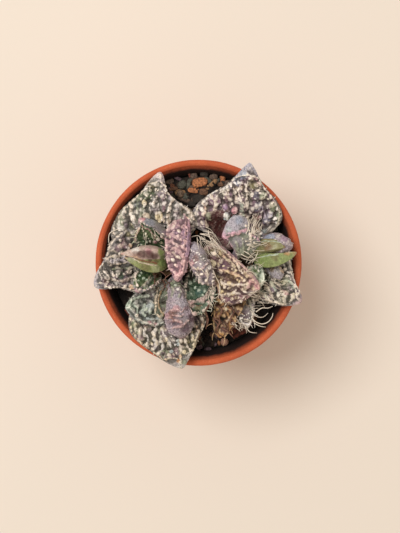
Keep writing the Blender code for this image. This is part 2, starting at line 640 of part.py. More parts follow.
def leaf_teeth(name, skins, placed):
    """The teeth of both margins; one that would meet another piece stands steeper, or is left out."""
    leaf = LEAVES[name]
    seed = list(LEAVES).index(name)
    count, length = leaf["teeth"]
    others = [skin for owner, skin in skins.items() if owner != name]
    own = placed.setdefault(name, [])
    foreign = [spots for owner, teeth in placed.items() if owner != name for spots in teeth]
    made = []
    for edge in (1, -1):
        for i in range(count):
            u = TOOTH_FROM + (TOOTH_TO - TOOTH_FROM) * (i + 0.5 + 0.3 * (draw(i, edge, seed) - 0.5)) / count
            size = length * (0.7 + 0.5 * draw(i, edge + 2, seed))
            for rise in TOOTH_RISES:
                path = tooth_path(leaf, u, edge, size, math.radians(rise))
                if is_clear(path, others, foreign):
                    spots = [path[0].lerp(path[1], t) for t in (0.3, 0.6, 1.0)]
                    spots += [path[1].lerp(path[2], t) for t in (0.3, 0.6, 1.0)]
                    own.append(spots)
                    tooth = finished_mesh(tooth_mesh(path), "tooth", (0, 0, 0))
                    made.append(add_object("tooth", tooth))
                    break
    return made


def finish_of(name):
    if name.startswith("bud"):
        return "young"
    if "dried" in name:
        return "dried"
    if "keel" in name or "ridge" in name or name.endswith("right_east"):
        return "keel"
    return "leaf"


def skin_tree(obj):
    """A search tree of an object's faces, in millimetres."""
    mesh = obj.data
    mesh.calc_loop_triangles()
    points = [(obj.matrix_world @ vert.co) / MM for vert in mesh.vertices]
    return BVHTree.FromPolygons(points, [tuple(tri.vertices) for tri in mesh.loop_triangles])


def plain_leaf(leaf):
    """The same leaf with an even skin that lies over its warts, for shaping its neighbours."""
    return dict(leaf, warts=0.0, level=0.9 * leaf["warts"])


def make_leaves(standing):
    """The leaves from the crowns outward: each is shaped to what already stands, with a small gap."""
    bpy.context.view_layer.update()
    skins = {obj.name: skin_tree(obj) for obj in standing}
    cutters = [(swollen_copy(obj), obj.location / MM) for obj in standing]
    for seed, (name, leaf) in enumerate(LEAVES.items()):
        work = leaf_skin(leaf, seed)
        skins[name] = BVHTree.FromBMesh(work)
        work.free()
    placed = {}
    for seed, (name, leaf) in enumerate(LEAVES.items()):
        base = leaf["base"]
        mesh = finished_mesh(leaf_skin(leaf, seed), name, base)
        body = add_object(name, mesh, finish_of(name), base)
        bpy.context.view_layer.update()
        boolean(body, leaf_teeth(name, skins, placed), "UNION")
        shapes = [add_object("cutter", shape.copy(), None, place) for shape, place in cutters]
        boolean(body, shapes, "DIFFERENCE")
        tidy_skin(body)
        grown = leaf_skin(plain_leaf(leaf), seed, SHAPING_GAP)
        cutters.append((finished_mesh(grown, "cutter", base), base))


def swollen_copy(obj):
    """A copy of a mesh grown by the clearance."""
    work = bmesh.new()
    work.from_mesh(obj.data)
    work.normal_update()
    swell(work, CLEARANCE * MM)
    return mesh_from(work, "cutter")


def rest_on(soil, obj):
    """Lowers a stone until it lies on the soil, with the small gap between pieces."""
    bpy.context.view_layer.update()
    ground = skin_tree(soil)
    skin = skin_tree(obj)
    down = Vector((0, 0, -1))
    drops = []
    for vert in obj.data.vertices:
        distance = ground.ray_cast((obj.matrix_world @ vert.co) / MM, down)[3]
        if distance is not None:
            drops.append(distance)
    for vert in soil.data.vertices:
        distance = skin.ray_cast(vert.co / MM, -down)[3]
        if distance is not None:
            drops.append(distance)
    obj.location.z -= (min(drops) - STONE_GAP) * MM


def make_stones(soil):
    """The loose stones and the shard of clay that lie on the soil."""
    for name, stone in STONES.items():
        x, y = stone["at"]
        if stone["flat"]:
            bpy.ops.mesh.primitive_cube_add(size=2 * MM)
        else:
            bpy.ops.mesh.primitive_ico_sphere_add(subdivisions=1, radius=MM)
        made = bpy.context.object
        made.name = name
        made.data.name = name
        made.data.transform(Matrix.Diagonal((*stone["size"], 1.0)))
        made.rotation_euler = (0, 0, math.radians(stone["turn"]))
        made.location = Vector((x, y, RIM_HEIGHT)) * MM
        made.data.materials.append(material(stone["finish"]))
        rest_on(soil, made)


def main():
    clear_scene()
    pot = make_pot()
    soil = make_soil()
    standing = [pot, soil]
    for side, place in STEMS.items():
        stem = stem_core("stem_" + side, place)
        stem.data.materials.append(material("stem"))
        standing.append(stem)
    make_leaves(standing)
    make_stones(soil)


main()
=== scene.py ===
# Potted faucaria seen from straight above: two crowns of warty leaves in a small clay pot.
import math

import bpy
import numpy as np
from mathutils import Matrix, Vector
from mathutils.bvhtree import BVHTree


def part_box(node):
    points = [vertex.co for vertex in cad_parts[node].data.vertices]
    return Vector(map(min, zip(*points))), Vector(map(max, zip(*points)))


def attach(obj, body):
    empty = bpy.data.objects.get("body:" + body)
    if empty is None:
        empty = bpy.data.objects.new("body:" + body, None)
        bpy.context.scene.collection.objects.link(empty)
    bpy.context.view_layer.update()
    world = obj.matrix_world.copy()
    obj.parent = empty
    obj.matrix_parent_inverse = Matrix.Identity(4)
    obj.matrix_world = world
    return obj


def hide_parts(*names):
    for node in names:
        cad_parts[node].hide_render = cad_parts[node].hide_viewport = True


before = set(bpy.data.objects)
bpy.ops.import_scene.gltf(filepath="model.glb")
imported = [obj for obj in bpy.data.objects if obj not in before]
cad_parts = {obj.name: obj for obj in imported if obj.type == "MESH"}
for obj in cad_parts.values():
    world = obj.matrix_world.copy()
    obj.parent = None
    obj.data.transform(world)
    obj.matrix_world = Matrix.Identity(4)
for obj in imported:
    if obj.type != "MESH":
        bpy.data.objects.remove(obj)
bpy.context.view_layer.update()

mm = 0.001
up = np.array([0.0, 0.0, 1.0])


# Noise on whole arrays of points.

def hashed(ix, iy, iz, seed):
    # a steady random number from 0 to 1 for each lattice point: its whole numbers times large odd ones,
    # added up, their bits mixed twice and cut to 24
    n = np.asarray(ix, np.int64) * 374761393 + np.asarray(iy, np.int64) * 668265263
    n = (n + np.asarray(iz, np.int64) * 1103515245 + seed * 1274126177) & 0xFFFFFFFF
    n = ((n ^ (n >> 13)) * 1274126177) & 0xFFFFFFFF
    return ((n ^ (n >> 16)) & 0xFFFFFF) / float(0xFFFFFF)


def smoothNoise(points, size, seed):
    # lattice values at the eight corners of each point's cell, blended with a smooth step, 0 to 1
    spot = points / size
    low = np.floor(spot).astype(np.int64)
    t = spot - low
    t = t * t * (3 - 2 * t)
    total = 0.0
    for dx, dy, dz in np.ndindex(2, 2, 2):
        weight = ((t[..., 0] if dx else 1 - t[..., 0]) * (t[..., 1] if dy else 1 - t[..., 1])
                  * (t[..., 2] if dz else 1 - t[..., 2]))
        total = total + weight * hashed(low[..., 0] + dx, low[..., 1] + dy, low[..., 2] + dz, seed)
    return total


def layeredNoise(points, size, seed):
    # the mean of three layers, each with half the size and half the share of the one before
    shares = (1.0, 0.5, 0.25)
    total = sum(share * smoothNoise(points, size / 2 ** layer, seed + layer)
                for layer, share in enumerate(shares))
    return total / sum(shares)


def centredNoise(points, size, seed):
    # layered noise from -0.5 to 0.5
    return layeredNoise(points, size, seed) - 0.5


def cellDistance(a, b, cell, seed):
    # each cell of a plane has one centre, at least 0.15 of a cell off its sides; gives the distance to
    # the nearest centre and that centre's own number
    ca, cb = np.floor(a / cell), np.floor(b / cell)
    best = np.full(np.shape(a), 1e9)
    own = np.zeros(np.shape(a))
    for da, db in np.ndindex(3, 3):
        ia, ib = ca + da - 1, cb + db - 1
        x = (ia + 0.15 + 0.7 * hashed(ia, ib, 1, seed)) * cell
        y = (ib + 0.15 + 0.7 * hashed(ia, ib, 2, seed)) * cell
        away = np.hypot(a - x, b - y)
        nearer = away < best
        best = np.where(nearer, away, best)
        own = np.where(nearer, hashed(ia, ib, 3, seed), own)
    return best, own


def smoothStep(value, low, high):
    # 0 at low, 1 at high and 3tt - 2ttt between them; low may be above high
    t = np.clip((value - low) / (high - low), 0, 1)
    return t * t * (3 - 2 * t)


def unit(v):
    # each vector divided by its own length
    return v / np.maximum(np.linalg.norm(v, axis=-1, keepdims=True), 1e-9)


# Meshes from arrays.

def gridFaces(rows, columns):
    # quads between the rows of a grid, each row closed on itself
    i = np.arange(rows - 1)[:, None] * columns
    j = np.arange(columns)[None, :]
    k = (j + 1) % columns
    return np.stack([i + j, i + k, i + columns + k, i + columns + j], -1).reshape(-1, 4)


def link(made):
    # puts a new object into the scene
    bpy.context.scene.collection.objects.link(made)
    return made


class Shape:
    # points in millimetres, faces of four corners (the last is -1 in a triangle), and one number per
    # point for each mask
    def __init__(self):
        self.points, self.faces, self.masks, self.count = [], [], [], 0

    def add(self, points, faces, **masks):
        # the faces count from the first of these points
        points = np.asarray(points, float).reshape(-1, 3)
        self.points.append(points)
        if faces.shape[1] == 3:
            faces = np.concatenate([faces, -np.ones((len(faces), 1), faces.dtype)], 1)
        moved = np.where(faces < 0, -1, faces + self.count)
        self.faces.append(moved)
        self.masks.append({k: np.broadcast_to(np.asarray(v, float).reshape(-1), (len(points),))
                           for k, v in masks.items()})
        self.count += len(points)

    def close(self, rows, columns, first, last, **masks):
        # a fan of triangles over the first and over the last row of the grid that was just added
        start, end = self.count - rows * columns, self.count - columns
        ring = np.arange(columns)
        after, still = (ring + 1) % columns, 0 * ring
        self.add([first, last], np.zeros((0, 4), np.int64), **masks)
        self.faces.append(np.concatenate([
            np.stack([start + after, start + ring, still + self.count - 2, still - 1], 1),
            np.stack([end + ring, end + after, still + self.count - 1, still - 1], 1)]))

    def piece(self, name, finish, slot, replaced=(), smooth=True):
        # all that was added as one mesh, with a layer of numbers for each mask, 0 where a part has none
        points = np.concatenate(self.points) * mm
        faces = np.concatenate(self.faces)
        sizes = np.where(faces[:, 3] < 0, 3, 4)
        corners = faces.reshape(-1)
        corners = corners[corners >= 0]
        mesh = bpy.data.meshes.new(name)
        mesh.vertices.add(len(points))
        mesh.vertices.foreach_set("co", points.astype(np.float32).reshape(-1))
        mesh.loops.add(len(corners))
        mesh.loops.foreach_set("vertex_index", corners.astype(np.int32))
        mesh.polygons.add(len(faces))
        mesh.polygons.foreach_set("loop_start", np.concatenate([[0], np.cumsum(sizes)[:-1]]).astype(np.int32))
        mesh.polygons.foreach_set("loop_total", sizes.astype(np.int32))
        mesh.polygons.foreach_set("use_smooth", np.full(len(faces), smooth))
        mesh.update(calc_edges=True)
        for key in sorted({key for masks in self.masks for key in masks}):
            values = np.concatenate([masks.get(key, np.zeros(len(p)))
                                     for masks, p in zip(self.masks, self.points)])
            mesh.attributes.new(key, "FLOAT", "POINT").data.foreach_set("value", values.astype(np.float32))
        mesh.materials.append(finish)
        made = link(bpy.data.objects.new(name, mesh))
        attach(made, "root")
        if replaced:
            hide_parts(*replaced)
        return made


def paintPoints(made, inks):
    # one colour per point, which a finish reads as paint
    layer = made.data.attributes.new("paint", "FLOAT_COLOR", "POINT")
    layer.data.foreach_set("color", inks.astype(np.float32).reshape(-1))


# Finishes. A Socket is one output of a node, and sums with it add the nodes that they need.

def rgb(code):
    # a colour written as six hex digits, turned into light values
    parts = [int(code[i:i + 2], 16) / 255 for i in (0, 2, 4)]
    return tuple(p / 12.92 if p <= 0.04045 else ((p + 0.055) / 1.055) ** 2.4 for p in parts) + (1.0,)


class Socket:
    def __init__(self, out):
        self.out = out
        self.tree = out.id_data

    def node(self, kind, settings=None, values=None, take=0):
        # a new node in the same tree; its inputs get Sockets or plain values, and one output comes back
        made = self.tree.nodes.new(kind)
        for key, value in (settings or {}).items():
            if key == "stops":
                ramp = made.color_ramp
                for i, (place, colour) in enumerate(value):
                    stop = ramp.elements[i] if i < 2 else ramp.elements.new(place)
                    stop.position, stop.color = place, colour
            else:
                setattr(made, key, value)
        for key, value in (values or {}).items():
            if isinstance(value, Socket):
                self.tree.links.new(value.out, made.inputs[key])
            else:
                made.inputs[key].default_value = value
        return Socket(made.outputs[take])

    def maths(self, operation, *values):
        return self.node("ShaderNodeMath", {"operation": operation}, dict(enumerate(values)))

    def __add__(self, other):
        return self.maths("ADD", self, other)

    def __rsub__(self, other):
        return self.maths("SUBTRACT", other, self)

    def __mul__(self, other):
        return self.maths("MULTIPLY", self, other)

    def step(self, low, high, start=0.0, end=1.0):
        # a smooth step from start to end as the value goes from low to high
        return self.node("ShaderNodeMapRange", {"interpolation_type": "SMOOTHSTEP"},
                         {"Value": self, "From Min": low, "From Max": high, "To Min": start, "To Max": end})

    def mix(self, first, second):
        # two colours mixed by this value
        return self.node("ShaderNodeMix", {"data_type": "RGBA"}, {0: self, 6: first, 7: second}, take=2)

    def shade(self, colour):
        # a colour made darker or lighter by this value
        grey = self.node("ShaderNodeCombineColor", None, {0: self, 1: self, 2: self})
        settings = {"data_type": "RGBA", "blend_type": "MULTIPLY", "clamp_result": False}
        return self.node("ShaderNodeMix", settings, {0: 1.0, 6: colour, 7: grey}, take=2)

    def noise(self, scale, detail=2.0, rough=0.5):
        # layered noise from 0 to 1, the scale being its cells in a millimetre
        return self.node("ShaderNodeTexNoise", None,
                         {"Vector": self, "Scale": scale, "Detail": detail, "Roughness": rough})

    def cells(self, scale):
        # the distance to the nearest cell centre
        return self.node("ShaderNodeTexVoronoi", None, {"Vector": self, "Scale": scale})

    def mask(self, name):
        # the number that each point carries under this name
        return self.node("ShaderNodeAttribute", {"attribute_name": name}, None, take=2)

    def paint(self):
        # the colour that each point carries
        return self.node("ShaderNodeAttribute", {"attribute_name": "paint"})


def startFinish(name):
    # a new material, its shader, and a Socket with the object coordinates in millimetres
    made = bpy.data.materials.new(name)
    made.use_nodes = True
    tree = made.node_tree
    shader = tree.nodes["Principled BSDF"]
    place = Socket(tree.nodes.new("ShaderNodeTexCoord").outputs["Object"])
    place = place.node("ShaderNodeVectorMath", {"operation": "SCALE"}, {0: place, "Scale": 1000.0})
    return made, shader, place


def wire(shader, **links):
    # each named input of the shader gets a Socket or a plain value
    for key, value in links.items():
        socket = shader.inputs[key.replace("_", " ")]
        if isinstance(value, Socket):
            socket.id_data.links.new(value.out, socket)
        else:
            socket.default_value = value


def bump(height, distance):
    # a height of 1 rises by the distance, in millimetres
    return height.node("ShaderNodeBump", None, {"Distance": distance * mm, "Height": height})


def mottled(name, colour, dark, noise=(0.8, 4.0, 0.6), step=(0.3, 0.7), rough=0.85, relief=0.3):
    # two colours mixed by one noise, which also gives the bumps where there is relief
    made, shader, place = startFinish(name)
    tone = place.noise(*noise)
    wire(shader, Base_Color=tone.step(*step).mix(rgb(dark), rgb(colour)), Roughness=rough)
    if relief:
        wire(shader, Normal=bump(tone, relief))
    return made


# Camera, floor and light.

view = dict(lens=85.0, sensor=36.0, rimTop=78.0, rimRadius=42.5, rimPixels=103.6,
            centre=(198.6, 262.7), image=(400, 533))
light = dict(toward=(-0.83, 0.55), tilt=24.0, away=1.5, size=0.74, power=14.4,
             warm="FFFAF4", sky="FFF0DC", skyPower=0.575)
floorLook = dict(colour="E9E2DA", second="ECE4DC", size=3.0)


pixel = view["rimRadius"] / view["rimPixels"]  # millimetres, in the plane of the rim
eyeAway = pixel * view["image"][1] * view["lens"] / view["sensor"]
eye = np.array([(view["image"][0] / 2 - view["centre"][0]) * pixel,
                (view["centre"][1] - view["image"][1] / 2) * pixel, view["rimTop"] + eyeAway])


def makeCamera():
    # above the pot, looking straight down
    made = link(bpy.data.objects.new("camera", bpy.data.cameras.new("camera")))
    made.data.lens, made.data.sensor_width = view["lens"], view["sensor"]
    made.data.clip_start = 0.01
    made.location = eye * mm
    bpy.context.scene.camera = made


def makeStage():
    # the floor, a round lamp to the upper left and a dim warm sky
    half = floorLook["size"] / 2
    mesh = bpy.data.meshes.new("floor")
    corners = [(-half, -half, 0), (half, -half, 0), (half, half, 0), (-half, half, 0)]
    mesh.from_pydata(corners, [], [(0, 1, 2, 3)])
    mesh.materials.append(mottled("floor", floorLook["colour"], floorLook["second"], (0.004, 2.0),
                                  rough=0.9, relief=0))
    floor = link(bpy.data.objects.new("floor", mesh))
    lamp = link(bpy.data.objects.new("window", bpy.data.lights.new("window", "AREA")))
    lamp.data.shape, lamp.data.size, lamp.data.energy = "DISK", light["size"], light["power"]
    lamp.data.color = rgb(light["warm"])[:3]
    lean = math.radians(light["tilt"])
    aim = Vector((0, 0, view["rimTop"] * mm))
    toward = Vector([part * math.sin(lean) for part in light["toward"]] + [math.cos(lean)])
    lamp.location = aim + light["away"] * toward
    lamp.rotation_euler = (aim - lamp.location).to_track_quat("-Z", "Y").to_euler()
    world = bpy.data.worlds.new("studio")
    world.use_nodes = True
    sky = world.node_tree.nodes["Background"]
    sky.inputs["Color"].default_value = rgb(light["sky"])
    sky.inputs["Strength"].default_value = light["skyPower"]
    bpy.context.scene.world = world
    bpy.context.scene.view_settings.view_transform = "Standard"


makeCamera()
makeStage()
print("stage made")


# Clay pot: a turned wall with a plain collar.

# the last two colours are painted shade on the inside wall of the pot
pot = dict(sides=180, rim=42.5, height=78.0, collar=14.0, step=2.2, wall=3.3, flare=0.6, foot=28.5, floor=5.0,
           drain=5.5, ripple=0.16, rippleSize=9.0,
           clay="D2683F", pale="E08A63", deep="A9492A", paintedWallShade="200602", paintedDeepShade="110704")


def wallInside(height):
    # the inner radius grows evenly from the floor to the rim
    low, high = pot["foot"] - pot["wall"], pot["rim"] - pot["wall"] - pot["flare"]
    return low + (high - low) * (height - pot["floor"]) / (pot["height"] - pot["floor"])


def turnedShape(profile, sides):
    # a closed profile of (radius, height) points carried round the z axis
    profile = np.array(profile)
    angle = np.arange(sides) / sides * 2 * np.pi
    return np.stack([profile[:, 0, None] * np.cos(angle), profile[:, 0, None] * np.sin(angle),
                     np.repeat(profile[:, 1, None], sides, 1)], -1)


def softened(profile):
    # each corner cut twice at a quarter and three quarters of its sides, so the profile reads as rounded
    points = np.array(profile, float)
    for _ in range(2):
        after = np.roll(points, -1, 0)
        points = np.stack([0.75 * points + 0.25 * after, 0.25 * points + 0.75 * after], 1).reshape(-1, 2)
    return points


def clayFinish():
    # two clay tones with pale grains; inside, painted shade on the wall from just below the lip, and darker
    # painted shade lower down
    made, shader, place = startFinish("clay")
    speckle = place.noise(1.7, 3.0, 0.6)
    colour = place.noise(0.09, 4.0, 0.6).step(0.2, 0.82, 0.25, 0.85).mix(rgb(pot["deep"]), rgb(pot["clay"]))
    colour = (speckle.step(0.5, 0.8) * 0.5).mix(colour, rgb(pot["pale"]))
    z = place.node("ShaderNodeSeparateXYZ", None, {0: place}, take=2)
    rough = place.noise(0.35, 3.0)
    inside = place.mask("inner")
    # painted shade: the inner wall is darkened from just below the lip and nearly black lower down, as in the
    # pot's own shadow
    for tint, waver, start, end in (("paintedWallShade", 2.0, -0.2, 2.6), ("paintedDeepShade", 4.0, 4.0, 10.0)):
        below = (z + rough * waver).step(pot["height"] - start, pot["height"] - end)
        colour = (below * inside).mix(colour, rgb(pot[tint]))
    height = speckle + place.noise(5.0, 2.0) * 0.5
    wire(shader, Base_Color=colour, Roughness=0.86, Normal=bump(height, 0.06))
    return made


def makePot():
    # the corners run from the lip down the outside, under the foot, up the drain and up inside
    top, rim = pot["height"], pot["rim"]
    under, inner = top - pot["collar"], rim - pot["wall"] + 0.5
    corners = [
        (inner + 1.1, top - 0.05), (rim - 1.3, top), (rim - 0.35, top - 0.45), (rim, top - 1.5),
        (rim - 0.2, top - 7.0), (rim - 0.4, under + 0.9), (rim - 0.9, under + 0.1), (rim - 1.8, under - 0.2),
        (rim - pot["step"] - 0.6, under - 0.9), (rim - pot["step"] - 1.6, under - 6.0),
        (0.5 * (rim + pot["foot"]) - 1.0, 0.5 * under), (pot["foot"] + 0.3, 1.5), (pot["foot"] - 0.1, 0.4),
        (pot["foot"] - 0.9, 0.0), (0.5 * pot["foot"], 0.0), (pot["drain"] + 0.3, 0.0), (pot["drain"], 0.4),
        (pot["drain"], pot["floor"] - 0.4), (pot["drain"] + 0.4, pot["floor"]),
        (wallInside(pot["floor"]) - 1.0, pot["floor"]), (wallInside(pot["floor"]), pot["floor"] + 1.0),
        (wallInside(0.5 * top), 0.5 * top), (wallInside(top - 4.0), top - 4.0), (inner - 0.1, top - 1.6),
        (inner + 0.25, top - 0.5),
    ]
    innerStart = 18  # the corner where the inside of the pot begins
    points = turnedShape(softened(corners), pot["sides"])
    out = unit(points * np.array([1, 1, 0]))
    points = points + out * (pot["ripple"] * centredNoise(points, pot["rippleSize"], 5))[..., None]
    rows, columns = points.shape[:2]
    faces = gridFaces(rows + 1, columns) % (rows * columns)  # the last row meets the first
    inside = np.arange(rows)[:, None] >= 4 * innerStart
    shape = Shape()
    shape.add(points, faces[:, ::-1], inner=inside + 0.0 * points[..., 0])
    shape.piece("pot_clay", clayFinish(), "clay", ["pot"])


makePot()
print("pot made")


# Leaves. The form of each is the solid's own; the table gives its spine, widths, depth and coat.
# u runs from the foot to the tip, s from 1 at the right margin to -1 at the left one.

leafForm = dict(nose=0.14, foot=0.08, keelCurve=1.6, keelPower=0.8, budCurve=1.15)
